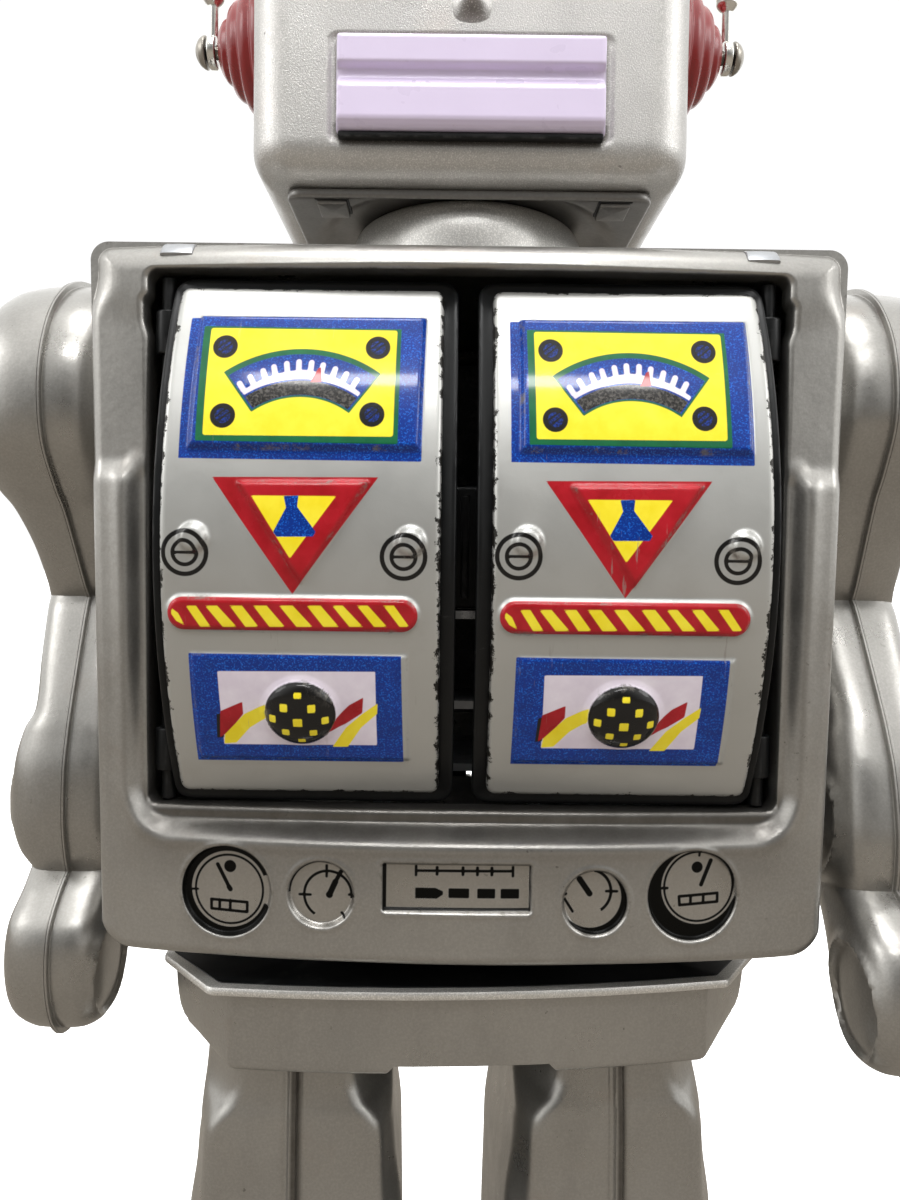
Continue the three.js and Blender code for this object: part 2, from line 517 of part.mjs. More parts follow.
add('neck_collar', turned(COLLAR, 24, 'z', [0, 0, 0], { loop: true }), 'bright_paint');
add('head_shell', headShell(), 'head_paint');
add('head_base', cut(stack([217, HEAD_Z0 - 0.2].map(z => ringZ(27, 20, 5, z))),
  box(-1, 1, -30, -19, 216, 219)), 'silver_paint');
add('mouth', mouth(), 'pale_plastic');
add('nose', nose(), 'head_paint');
for (const [side, sign] of SIDES) {
  const eye = [EYE_X * sign, 0, EYE_Z];
  add('eye_bezel_' + side, turned(BEZEL, 20, 'y', eye, { loop: true }), 'nickel');
  add('eye_lens_' + side, turned(LENS, 20, 'y', eye), 'amber_lens');
  const tipX = EAR_X + EAR_DEPTH;
  const antennaX = (tipX + 1.15) * sign;
  add('ear_' + side, turned(flip(EAR, sign), 18, 'x', [EAR_X * sign, 0, EAR_Z]), 'red_plastic');
  add('ear_rivet_' + side, turned(flip(RIVET, sign), 14, 'x', [tipX * sign, 0, EAR_Z]), 'nickel');
  add('antenna_' + side, join(pipe(1.1, 2.6, -0.75, 0.75, 16, 'x', [antennaX, 0, EAR_Z]),
    turned(ANTENNA, 10, 'z', [antennaX, 0, 0])), 'nickel');
}

// --------------------------------------------------------------- legs and feet
const LEG_X = 24.7, LEG_SHIFT = -1.3;
const FOOT_HALF_X = 17.5, FOOT_HALF_Y = 44.5, SOLE_Z = 0.8;
const ROLLER_R = 4, ROLLER_SIDES = 16, ROLLER_Y = 28;
const ROLLER_Z = ROLLER_R * Math.cos(Math.PI / ROLLER_SIDES);   // a flat rests on the floor

const LEG_STATIONS = [   // half width of front and back edges, half x, half y, corner depth, z
  [13.6, 17, 23.8, 6, 15.3], [13.4, 17, 23.2, 6, 40], [13.3, 16.6, 22.6, 6, 62],
  [13.2, 15.6, 22, 6.3, 70], [13.1, 15, 21.6, 6.3, 78.2], [11.5, 15, 21.4, 8, 80.4],
  [8.7, 15, 21, 10.5, 82.6], [8.3, 15, 20.2, 11.5, 92], [8.3, 14.6, 19.6, 11.5, 99.2]];
const FOOT_STATIONS = [[0, SOLE_Z + 1.5], [0, 10.4], [0.9, 13.2], [3.4, 15]];   // inset, z
const ROLLER = [   // radius, x
  [0, -11.4], [1.2, -11.4], [1.2, -9], [ROLLER_R, -9], [ROLLER_R, 9], [1.2, 9],
  [1.2, 11.4], [0, 11.4]];

function legShell(centreX) {
  const octagon = (edge, halfX, halfY, corner, z) => [
    [-edge, -halfY], [edge, -halfY], [halfX, corner - halfY], [halfX, halfY - corner],
    [edge, halfY], [-edge, halfY], [-halfX, halfY - corner], [-halfX, corner - halfY],
  ].map(([x, y]) => [centreX + x, y, z]);
  const innerZ = z => (z > 95 ? 94 : z > 79 ? z - 0.6 : z);
  return cut(hollow(LEG_STATIONS, station => octagon(...station),
    ([edge, halfX, halfY, corner, z]) =>
      octagon(edge - 0.5, halfX - WALL, halfY - WALL, corner, innerZ(z))),
  rod(PIVOT_R + 0.1, -60, 60, 16, 'x', [0, 0, PIVOT_Z]));
}

function footShell(centreX) {
  const ring = (inset, radius, z) =>
    ringZ(FOOT_HALF_X - inset, FOOT_HALF_Y - inset, radius, z, centreX);
  return hollow(FOOT_STATIONS, ([inset, z]) => ring(inset, 7 - inset * 0.5, z),
    ([inset, z]) => ring(inset + WALL, 5.9 - inset * 0.5, z > 5 ? z - WALL : z));
}

function solePlate(centreX) {
  const plate = stack([SOLE_Z, SOLE_Z + 1.2].map(z =>
    ringZ(FOOT_HALF_X - 0.4, FOOT_HALF_Y - 0.4, 6.6, z, centreX)));
  const ends = [-ROLLER_Y, ROLLER_Y];
  const cheeks = ends.flatMap(y => [-1, 1].map(sign =>
    box(centreX + sign * 9.9, centreX + sign * 11.1, y - 3, y + 3, SOLE_Z + 0.4, 7)));
  const holes = ends.flatMap(y => [
    box(centreX - 9.6, centreX + 9.6, y - 4.8, y + 4.8, -1, 3.5),
    rod(1.3, centreX - 14, centreX + 14, 16, 'x', [0, y, ROLLER_Z])]);
  return geometryOf(cutSolid(joinSolid(plate, ...cheeks), ...holes));
}

for (const [side, sign] of SIDES) {
  const centreX = LEG_X * sign + LEG_SHIFT;
  addLower('leg_shell_' + side, legShell(centreX), 'silver_paint');
  addLower('foot_shell_' + side, footShell(centreX), 'silver_paint');
  addLower('sole_plate_' + side, solePlate(centreX), 'steel');
  for (const [end, y] of [['front', -ROLLER_Y], ['rear', ROLLER_Y]]) {
    addLower(`roller_${end}_${side}`,
      turned(ROLLER, ROLLER_SIDES, 'x', [centreX, y, ROLLER_Z], { phase: 0.5 }), 'rubber');
  }
}

export default robot;
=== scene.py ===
"""A tin toy robot with two chest doors, drawn over its CAD pieces.

Lengths are millimetres, scaled to metres by MM when a mesh is made. The robot
stands on z = 0 and faces -Y. Pieces named "left" lie at -X and "right" at +X.
"""
import math

import bmesh
import bpy
import numpy as np
from mathutils import Matrix, Vector


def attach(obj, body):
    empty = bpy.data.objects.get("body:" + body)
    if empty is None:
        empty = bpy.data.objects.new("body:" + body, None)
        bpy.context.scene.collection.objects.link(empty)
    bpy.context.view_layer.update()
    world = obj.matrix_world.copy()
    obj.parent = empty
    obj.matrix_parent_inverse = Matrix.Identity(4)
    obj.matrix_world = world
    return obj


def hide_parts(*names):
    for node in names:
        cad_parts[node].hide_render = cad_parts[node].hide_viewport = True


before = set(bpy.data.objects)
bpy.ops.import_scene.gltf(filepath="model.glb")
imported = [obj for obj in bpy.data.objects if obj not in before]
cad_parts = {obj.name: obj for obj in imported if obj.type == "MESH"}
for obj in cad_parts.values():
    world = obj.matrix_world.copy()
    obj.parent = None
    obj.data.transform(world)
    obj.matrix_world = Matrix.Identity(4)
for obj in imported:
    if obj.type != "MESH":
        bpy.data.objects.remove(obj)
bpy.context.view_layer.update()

MM = 0.001
SIDES = (("left", -1), ("right", 1))

TURN = math.radians(3.5)                 # the hips and legs stand turned under the chest
LOWER_BODIES = ("hips", "left_leg", "right_leg", "front_left_roller", "rear_left_roller",
                "front_right_roller", "rear_right_roller")
TAPER, TAPER_Z = 0.0186, 157.5           # widening of the chest per mm above its middle height

CHEST_HALF, CHEST_LOW, CHEST_HIGH = 51.6, 109.0, 206.9
PANEL_TOP = 207.55
SHOULDER_Z = 190
EAR_Z = 249
EYE_X, EYE_Z, EYE_FRONT = 14, 259, -25.1


# ==================================================================== curves
def ease(start, end, value):
    """Smooth step from 0 at start to 1 at end, which may run either way."""
    part = np.clip((value - start) / (end - start), 0, 1)
    return part * part * (3 - 2 * part)


def edge_roll(inset, radius):
    """How far a rounded edge falls away at a distance in from the outline."""
    inset = np.clip(inset, 0, radius)
    return radius - np.sqrt(np.clip(radius * radius - (radius - inset) ** 2, 0, None))


def quarter(steps):
    """Sine and cosine at even steps through a quarter turn."""
    angles = [math.pi / 2 * k / steps for k in range(steps + 1)]
    return [(math.sin(angle), math.cos(angle)) for angle in angles]


def fillet(points, radius, steps=4, closed=False):
    """Rounds the corners of a 2-D line."""
    points = [np.array(point, float) for point in points]
    out = []
    for i, corner in enumerate(points):
        if not closed and i in (0, len(points) - 1):
            out.append(corner)
            continue
        back, ahead = points[i - 1] - corner, points[(i + 1) % len(points)] - corner
        back_length, ahead_length = np.linalg.norm(back), np.linalg.norm(ahead)
        cut = min(radius, back_length * 0.45, ahead_length * 0.45)
        start, end = corner + back / back_length * cut, corner + ahead / ahead_length * cut
        for k in range(steps + 1):
            t = k / steps
            out.append((1 - t) ** 2 * start + 2 * t * (1 - t) * corner + t * t * end)
    return [tuple(point) for point in out]


def spline(rows, count):
    """Smooth curve through rows of numbers, sampled evenly."""
    rows = np.array(rows, float)
    gaps = np.linalg.norm(np.diff(rows[:, :2], axis=0), axis=1) ** 0.6
    knots = np.concatenate([[0], np.cumsum(gaps)])
    times = np.linspace(0, knots[-1], count)
    slopes = np.zeros_like(rows)
    slopes[1:-1] = (rows[2:] - rows[:-2]) / (knots[2:] - knots[:-2])[:, None]
    slopes[0] = (rows[1] - rows[0]) / (knots[1] - knots[0])
    slopes[-1] = (rows[-1] - rows[-2]) / (knots[-1] - knots[-2])
    k = np.clip(np.searchsorted(knots, times, side="right") - 1, 0, len(knots) - 2)
    span = (knots[k + 1] - knots[k])[:, None]
    t = (times - knots[k])[:, None] / span
    return ((2 * t**3 - 3 * t**2 + 1) * rows[k] + (t**3 - 2 * t**2 + t) * slopes[k] * span
            + (-2 * t**3 + 3 * t**2) * rows[k + 1] + (t**3 - t**2) * slopes[k + 1] * span)


def xyz(x, y, z):
    """Points from three columns, any of which may be a single number."""
    return np.column_stack(np.broadcast_arrays(x, y, z))


def turned(verts):
    verts = np.array(verts, float)
    x, y = verts[:, 0].copy(), verts[:, 1].copy()
    verts[:, 0] = x * math.cos(TURN) - y * math.sin(TURN)
    verts[:, 1] = x * math.sin(TURN) + y * math.cos(TURN)
    return verts


def tapered(shape):
    """Makes the chest a little wider at the shoulders than at the waist."""
    verts = np.array(shape[0], float)
    x = verts[:, 0]
    widening = np.clip((np.abs(x) - 44) / 4, 0, 1) * (verts[:, 2] - TAPER_Z) * TAPER
    verts[:, 0] = x + np.sign(x) * widening
    return verts, shape[1]


# =================================================================== objects
def outward_mesh(mesh):
    """Turns all faces of a mesh outward."""
    work = bmesh.new()
    work.from_mesh(mesh)
    bmesh.ops.recalc_face_normals(work, faces=work.faces)
    work.to_mesh(mesh)
    work.free()


def new_mesh(name, verts, faces):
    mesh = bpy.data.meshes.new(name)
    points = (np.asarray(verts, float) * MM).tolist()
    mesh.from_pydata(points, [], [list(map(int, face)) for face in faces])
    mesh.update()
    return mesh


def smooth_mesh(mesh, sharp):
    mesh.polygons.foreach_set("use_smooth", [True] * len(mesh.polygons))
    mesh.set_sharp_from_angle(angle=math.radians(sharp))


def make(name, shape, material, body, replaces=None, sharp=38,
         attributes=None, face_slots=None):
    """Object from (verts, faces), with one slot for each material given; face_slots picks the slot
    of each face.
    """
    verts, faces = shape
    if body in LOWER_BODIES:
        verts = turned(verts)
    mesh = new_mesh(name, verts, faces)
    for key, values in (attributes or {}).items():
        layer = mesh.attributes.new(key, "FLOAT", "POINT")
        layer.data.foreach_set("value", np.asarray(values, np.float32))
    materials = material if isinstance(material, list) else [material]
    for entry in materials:
        mesh.materials.append(entry.material)
    if face_slots is not None:
        mesh.polygons.foreach_set("material_index", np.asarray(face_slots, np.int32))
    outward_mesh(mesh)
    smooth_mesh(mesh, sharp)
    ob = bpy.data.objects.new(name, mesh)
    bpy.context.scene.collection.objects.link(ob)
    if replaces:
        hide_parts(replaces)
    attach(ob, body)
    return ob


def cut_away(ob, shapes, turn=False):
    """Cuts shapes out of an object; turn gives them the turn of the hips."""
    for verts, faces in shapes:
        mesh = new_mesh("cutter", turned(verts) if turn else verts, faces)
        outward_mesh(mesh)
        cutter = bpy.data.objects.new("cutter", mesh)
        bpy.context.scene.collection.objects.link(cutter)
        modifier = ob.modifiers.new("cut", "BOOLEAN")
        modifier.operation = "DIFFERENCE"
        modifier.solver = "EXACT"
        modifier.object = cutter
        bpy.context.view_layer.update()
        graph = bpy.context.evaluated_depsgraph_get()
        result = bpy.data.meshes.new_from_object(ob.evaluated_get(graph))
        ob.modifiers.clear()
        old = ob.data
        ob.data = result
        bpy.data.meshes.remove(old)
        bpy.data.objects.remove(cutter)
        bpy.data.meshes.remove(mesh)
    smooth_mesh(ob.data, 35)


# ==================================================================== shapes
# Each shape is a pair: vertices in millimetres, and faces.
def loft(rings, start_cap=True, end_cap=True, loop=False):
    """Closed rings of points, skinned in order; caps are fans round a middle point."""
    count = len(rings[0])
    verts = np.concatenate(rings).astype(float)
    i = np.arange(count)
    j = (i + 1) % count
    faces = []
    for k in range(len(rings) if loop else len(rings) - 1):
        low, high = k * count, (k + 1) % len(rings) * count
        faces += np.stack([low + i, low + j, high + j, high + i], 1).tolist()
    if loop:
        return verts, faces
    for wanted, first, order in ((start_cap, 0, -1), (end_cap, len(verts) - count, 1)):
        if wanted:
            centre = len(verts)
            verts = np.concatenate([verts, verts[first : first + count].mean(0)[None]])
            faces += [[centre, first + k, first + (k + 1) % count][::order] for k in range(count)]
    return verts, faces


def rounded_outline(half, low, high, top_radius, low_radius, corner_steps, pieces):
    """Rounded rectangle; pieces are the counts on its top, side and bottom edges."""
    corners = [(1, high - top_radius, top_radius, 0), (-1, high - top_radius, top_radius, 90),
               (-1, low + low_radius, low_radius, 180), (1, low + low_radius, low_radius, 270)]
    arcs = []
    for sign, centre, radius, start in corners:
        angles = [math.radians(start + 90 * k / corner_steps) for k in range(corner_steps + 1)]
        arcs.append([(sign * (half - radius) + radius * math.cos(angle),
                      centre + radius * math.sin(angle)) for angle in angles])
    top, side, bottom = pieces
    out = []
    for k, count in enumerate((top, side, bottom, side)):
        out += arcs[k]
        start, end = np.array(arcs[k][-1]), np.array(arcs[(k + 1) % 4][0])
        out += [tuple(start + (end - start) * step / count) for step in range(1, count)]
    return np.array(out)


def level_ring(half_x, half_y, radius, z, centre=(0, 0), corner_steps=8, pieces=6):
    """Rounded rectangle lying level at a height."""
    outline = rounded_outline(half_x, -half_y, half_y, radius, radius, corner_steps, [pieces] * 3)
    return xyz(outline[:, 0] + centre[0], outline[:, 1] + centre[1], z)


def soft_ring(points, radius, counts):
    """Polygon with rounded corners; counts gives the pieces on each edge."""
    steps = 4
    rounded = fillet(points, radius, steps, closed=True)
    out = []
    for k, count in enumerate(counts):
        corner = rounded[k * (steps + 1) : (k + 1) * (steps + 1)]
        out += corner
        start = np.array(corner[-1])
        end = np.array(rounded[((k + 1) % len(points)) * (steps + 1)])
        out += [tuple(start + (end - start) * j / count) for j in range(1, count)]
    return np.array(out)


AXIS_ORDER = {"z": (0, 1, 2), "x": (2, 0, 1), "y": (1, 2, 0)}


def lathe(profile, count, axis="z", at=(0, 0, 0), loop=False):
    """Turns a profile of (radius, place along the axis); loop closes it on itself."""
    angles = np.arange(count) / count * 2 * math.pi
    rings = []
    for radius, place in profile:
        radius = max(radius, 1e-4)
        ring = xyz(radius * np.cos(angles), radius * np.sin(angles), place)
        rings.append(ring[:, AXIS_ORDER[axis]] + np.array(at))
    if loop:
        return loft(rings, loop=True)
    start_tip, end_tip = profile[0][0] < 1e-3, profile[-1][0] < 1e-3
    verts, faces = loft(rings[int(start_tip) : len(rings) - int(end_tip)])
    # ends that reach the axis use the middle points of the caps as their tips
    if start_tip:
        verts[-2] = rings[0].mean(0)
    if end_tip:
        verts[-1] = rings[-1].mean(0)
    return verts, faces


def mirrored(profile, sign):
    return [(radius, place * sign) for radius, place in profile]


def plug(radius, end_a, end_b, axis="z", at=(0, 0, 0)):
    """Plain cylinder for cutting holes."""
    low, high = sorted((end_a, end_b))
    return lathe([(0, low), (radius, low), (radius, high), (0, high)], 40, axis, at)


def plain_box(x0, x1, y0, y1, z0, z1):
    verts = [(x, y, z) for x in (x0, x1) for y in (y0, y1) for z in (z0, z1)]
    faces = [[0, 1, 3, 2], [4, 6, 7, 5], [0, 4, 5, 1], [2, 3, 7, 6], [0, 2, 6, 4], [1, 5, 7, 3]]
    return np.array(verts, float), faces


def rounded_box(x0, x1, y0, y1, z0, z1, radius, steps=3):
    """Box with all edges rounded."""
    half_x, half_y = abs(x1 - x0) / 2, abs(y1 - y0) / 2
    radius = min(radius, half_x * 0.98, half_y * 0.98, (z1 - z0) * 0.49)
    turns = quarter(steps)
    rings = []
    for face, up, order in ((z0, 1, turns), (z1, -1, turns[::-1])):
        for sine, cosine in order:
            inset = radius * (1 - sine)
            rings.append(level_ring(half_x - inset, half_y - inset,
                                    max(radius - inset, radius * 0.15),
                                    face + up * radius * (1 - cosine),
                                    ((x0 + x1) / 2, (y0 + y1) / 2), corner_steps=4, pieces=1))
    return loft(rings)


def merge(*parts):
    verts, faces, offset = [], [], 0
    for part_verts, part_faces in parts:
        verts.append(part_verts)
        faces += [[k + offset for k in face] for face in part_faces]
        offset += len(part_verts)
    return np.concatenate(verts), faces


def grid_faces(rows, columns, offset=0):
    i, j = np.meshgrid(np.arange(rows - 1), np.arange(columns - 1), indexing="ij")
    first = (i * columns + j).ravel() + offset
    return np.stack([first, first + columns, first + columns + 1, first + 1], 1).tolist()


def rim_loop(rows, columns):
    """Indices round the border of a grid."""
    loop = [i * columns for i in range(rows - 1)]
    loop += [(rows - 1) * columns + j for j in range(columns - 1)]
    loop += [i * columns + columns - 1 for i in range(rows - 1, 0, -1)]
    return loop + list(range(columns - 1, 0, -1))


def two_sided(top, bottom, rows, columns):
    """Closes two matching grids of points into a plate."""
    offset = rows * columns
    faces = grid_faces(rows, columns)
    faces += [face[::-1] for face in grid_faces(rows, columns, offset)]
    loop = rim_loop(rows, columns)
    for here, after in zip(loop, loop[1:] + loop[:1]):
        faces.append([after, here, offset + here, offset + after])
    return np.concatenate([top, bottom]), faces


def graded(half, edge_steps, margin, count, high_margin=None):
    """Places across a plate: close together in edge_steps, even between the margins."""
    steps = np.array(edge_steps)
    high_margin = margin if high_margin is None else high_margin
    middle = np.linspace(-half + margin, half - high_margin, count)
    return np.concatenate([-half + steps, middle, half - steps[::-1]])


def plate_grid(across, along, half_a, half_b, radius):
    """Grid with rounded corners: both coordinates, and the distance in from the outline."""
    grid_a, grid_b = np.meshgrid(across, along, indexing="ij")
    a, b = grid_a.ravel(), grid_b.ravel()
    past_a, past_b = np.abs(a) - (half_a - radius), np.abs(b) - (half_b - radius)
    corner = (past_a > 0) & (past_b > 0)
    pull = np.ones_like(a)
    pull[corner] = np.maximum(past_a, past_b)[corner] / np.hypot(past_a, past_b)[corner]
    a = np.where(corner, np.sign(a) * (half_a - radius + past_a * pull), a)
    b = np.where(corner, np.sign(b) * (half_b - radius + past_b * pull), b)
    return a, b, -box(np.column_stack([a, b]), (0, 0), (half_a, half_b), radius)


# ========================================================== signed distances
# Distances from 2-D points to flat figures, negative inside.
def away(points, centre):
    return np.linalg.norm(points - np.array(centre), axis=1)


def disc(points, centre, radius):
    return away(points, centre) - radius


def ring(distance, inner, outer):
    return np.maximum(distance - outer, inner - distance)


def segment(points, start, end, half_width):
    start = np.array(start, float)
    run = np.array(end, float) - start
    t = np.clip(((points - start) @ run) / max(run @ run, 1e-9), 0, 1)
    return np.linalg.norm(points - start - t[:, None] * run, axis=1) - half_width


def polygon(points, corners, radius=0.0):
    corners = np.array(corners, float)
    nearest = np.full(len(points), 1e9)
    sign = np.ones(len(points))
    for i, corner in enumerate(corners):
        edge, offset = corners[i - 1] - corner, points - corner
        t = np.clip((offset @ edge) / (edge @ edge), 0, 1)
        gap = offset - t[:, None] * edge
        nearest = np.minimum(nearest, (gap * gap).sum(1))
        above = points[:, 1] >= corner[1]
        below = points[:, 1] < corners[i - 1][1]
        beside = edge[0] * offset[:, 1] > edge[1] * offset[:, 0]
        sign[(above & below & beside) | (~above & ~below & ~beside)] *= -1
    return sign * np.sqrt(nearest) - radius


def box(points, centre, half, radius):
    past = np.abs(points - np.array(centre)) - np.array(half) + radius
    outside = np.linalg.norm(np.maximum(past, 0), axis=1)
    return outside + np.minimum(past.max(1), 0) - radius


def union(*figures):
    return np.min(figures, axis=0)


def overlap(*figures):
    return np.max(figures, axis=0)


# ================================================================= materials
def srgb(code):
    values = [int(code[i : i + 2], 16) / 255 for i in (1, 3, 5)]
    return tuple(v / 12.92 if v <= 0.04045 else ((v + 0.055) / 1.055) ** 2.4 for v in values)


def scaled(color, factor):
    """Colour times one factor or three, held at full strength."""
    return tuple(min(1.0, float(c * f)) for c, f in zip(color, np.broadcast_to(factor, 3)))


class Nodes:
    """Short calls that add linked shader nodes to a cleared tree."""

    def __init__(self, tree):
        self.tree = tree
        tree.nodes.clear()

    def add(self, kind, **settings):
        node = self.tree.nodes.new("ShaderNode" + kind)
        for key, value in settings.items():
            setattr(node, key, value)
        return node

    def put(self, socket, value):
        """Links a socket, or sets a colour or a number."""
        if isinstance(value, bpy.types.NodeSocket):
            self.tree.links.new(value, socket)
        elif isinstance(value, tuple):
            socket.default_value = (*value, 1.0)
        else:
            socket.default_value = value

    def fill(self, node, **inputs):
        for key, value in inputs.items():
            self.put(node.inputs[key.replace("_", " ")], value)

    def math(self, operation, first, second=0.0, clamp=False):
        node = self.add("Math", operation=operation, use_clamp=clamp)
        self.put(node.inputs[0], first)
        self.put(node.inputs[1], second)
        return node.outputs[0]

    def times(self, first, second):
        return self.math("MULTIPLY", first, second)

    def plus(self, first, second, clamp=False):
        return self.math("ADD", first, second, clamp)

    def ramp(self, value, span, to=(0.0, 1.0), **settings):
        """Maps the span of a value onto another range."""
        node = self.add("MapRange", **settings)
        self.fill(node, Value=value, From_Min=span[0], From_Max=span[1],
                  To_Min=to[0], To_Max=to[1])
        return node.outputs[0]


class Mat(Nodes):
    """Principled material whose textures use object coordinates."""

    def __init__(self, name):
        self.name = name
        self.material = bpy.data.materials.new(name)
        self.material.use_nodes = True
        super().__init__(self.material.node_tree)
        output = self.add("OutputMaterial")
        self.shader = self.add("BsdfPrincipled")
        self.put(output.inputs[0], self.shader.outputs[0])
        self.coords = self.add("TexCoord").outputs["Object"]

    def set(self, **inputs):
        self.fill(self.shader, **inputs)

    def noise(self, scale, detail=3.0, roughness=0.55, stretch=None):
        node = self.add("TexNoise")
        coords = self.coords
        if stretch:
            mapping = self.add("Mapping")
            mapping.inputs["Scale"].default_value = stretch
            self.put(mapping.inputs[0], coords)
            coords = mapping.outputs[0]
        self.fill(node, Vector=coords, Scale=scale, Detail=detail, Roughness=roughness)
        return node.outputs[0]

    def cloud(self, scale, detail, span, to=(0.0, 1.0), **noise):
        """Noise with the span of its values mapped onto another range."""
        return self.ramp(self.noise(scale, detail, **noise), span, to)

    def cells(self, scale):
        node = self.add("TexVoronoi", feature="F1")
        self.fill(node, Vector=self.coords, Scale=scale)
        return node.outputs["Distance"]

    def attribute(self, name):
        return self.add("Attribute", attribute_name=name).outputs["Fac"]

    def mix(self, mask, under, over):
        node = self.add("Mix", data_type="RGBA")
        for index, value in ((0, mask), (6, under), (7, over)):
            self.put(node.inputs[index], value)
        return node.outputs[2]

    def mix_value(self, mask, under, over):
        node = self.add("Mix", data_type="FLOAT")
        for index, value in ((0, mask), (2, under), (3, over)):
            self.put(node.inputs[index], value)
        return node.outputs[0]

    def bump(self, height, depth, strength=1.0, under=None):
        """Bump with its depth in millimetres, laid over another bump."""
        node = self.add("Bump")
        self.fill(node, Strength=strength, Distance=depth * MM, Height=height)
        if under is not None:
            self.put(node.inputs["Normal"], under)
        return node.outputs[0]

    def edges(self, span):
        return self.ramp(self.add("NewGeometry").outputs["Pointiness"], span)

    def ink(self, name, width=0.06):
        """Mask from a signed distance in millimetres: one inside."""
        return self.ramp(self.attribute(name), (width, -width))


PAINT = "#94928e"


def paint_layers(mat, base, rough, grain, specks=0.5, flake=0.3):
    """Sprayed metallic paint over tin: mottling, flake, smears, specks and orange peel, with
    painted shade where the 'shade' attribute is set.
    """
    color = mat.mix(mat.cloud(scale=34, detail=3, span=(0.3, 0.7)),
                    scaled(base, 0.90), scaled(base, 1.08))
    flakes = mat.cloud(scale=2600, detail=2, roughness=0.6, span=(0.38, 0.75), to=(0, flake))
    color = mat.mix(flakes, color, scaled(base, 1.5))
    smears = mat.cloud(scale=120, detail=5, roughness=0.7, stretch=(1, 1, 0.45),
                       span=(0.50, 0.8), to=(0, 0.35))
    color = mat.mix(smears, color, scaled(base, 0.66))
    warm = mat.cloud(scale=75, detail=4, roughness=0.6, span=(0.60, 0.75), to=(0, 0.35))
    color = mat.mix(warm, color, scaled(base, (1.05, 0.93, 0.86)))
    dots = mat.times(mat.cloud(scale=900, detail=3, span=(0.69, 0.73)),
                     mat.cloud(scale=55, detail=2, span=(0.52, 0.62)))
    color = mat.mix(mat.times(dots, specks), color, (0.045, 0.04, 0.035))
    # painted shade: the 'shade' attribute darkens the paint to near black, broken up a little by
    # noise
    shade_breakup = mat.cloud(scale=300, detail=4, roughness=0.6, span=(0.2, 0.6), to=(0.8, 1.0))
    color = mat.mix(mat.times(mat.attribute("shade"), shade_breakup), color,
                    scaled(base, (0.10, 0.085, 0.07)))
    roughness = mat.plus(
        mat.cloud(scale=140, detail=4, span=(0.3, 0.75), to=(rough - 0.05, rough + 0.09)),
        mat.cloud(scale=1500, detail=2, span=(0.35, 0.7), to=(-0.02, 0.03)))
    peel = mat.bump(mat.noise(scale=850, detail=3), depth=grain, strength=0.9)
    dents = mat.noise(scale=60, detail=2, roughness=0.5)
    normal = mat.bump(dents, depth=0.12, strength=0.5, under=peel)
    return color, roughness, normal


def silver_paint(name, rough, base=PAINT, metallic=0.86, grain=0.03, wear=0.5, coarse=None,
                 specks=0.5, flake=0.3):
    """coarse is the scale and the depth in mm of a coarser grain."""
    mat = Mat(name)
    base = srgb(base)
    color, roughness, normal = paint_layers(mat, base, rough, grain, specks, flake)
    worn = mat.times(mat.edges((0.54, 0.66)),
                     mat.cloud(scale=420, detail=4, roughness=0.65, span=(0.45, 0.62)))
    worn = mat.times(worn, wear)
    color = mat.mix(worn, color, (0.19, 0.17, 0.15))
    if coarse:
        scale, depth = coarse
        grit = mat.noise(scale=scale, detail=2, roughness=0.5)
        normal = mat.bump(grit, depth=depth, under=normal)
        normal = mat.bump(mat.cells(scale * 0.8), depth=depth * 0.7, strength=0.8, under=normal)
        # the coarse grain is painted darker in its pits and lighter on its peaks: partly a
        # speckled paint tone, partly painted shade and painted highlight on the pebbled surface
        color = mat.mix(mat.ramp(grit, span=(0.42, 0.6), to=(0.30, 0.0)), color,
                        scaled(base, 0.5))
        color = mat.mix(mat.ramp(grit, span=(0.55, 0.72), to=(0.0, 0.45)), color,
                        scaled(base, 1.6))
    mat.set(Base_Color=color, Metallic=metallic, Normal=normal,
            Roughness=mat.plus(roughness, mat.times(worn, 0.15)),
            Coat_Weight=0.2, Coat_Roughness=0.22)
    return mat


def plastic(name, base, rough, scuff, scuff_color, variation=0.15, grain_scale=700.0,
            grain=0.015, coat=0.0):
    mat = Mat(name)
    base = srgb(base)
    color = mat.mix(mat.cloud(scale=45, detail=3, span=(0.3, 0.7)),
                    scaled(base, 1 - variation), scaled(base, 1 + variation))
    scuffs = mat.times(mat.cloud(scale=260, detail=6, roughness=0.75, stretch=(1, 1, 3.2),
                                 span=(0.6, 0.72)),
                       mat.cloud(scale=70, detail=2, span=(0.42, 0.62)))
    rubbed = mat.times(mat.edges((0.55, 0.68)),
                       mat.cloud(scale=380, detail=4, roughness=0.7, span=(0.45, 0.6)))
    scuffs = mat.times(mat.plus(scuffs, rubbed, clamp=True), scuff)
    roughness = mat.cloud(scale=180, detail=3, span=(0.3, 0.7), to=(rough * 0.8, rough * 1.3))
    mat.set(Base_Color=mat.mix(scuffs, color, srgb(scuff_color)),
            Roughness=mat.plus(roughness, mat.times(scuffs, 0.25)),
            Normal=mat.bump(mat.noise(scale=grain_scale), depth=grain, strength=0.8),
            Coat_Weight=coat, Coat_Roughness=0.1)
    return mat


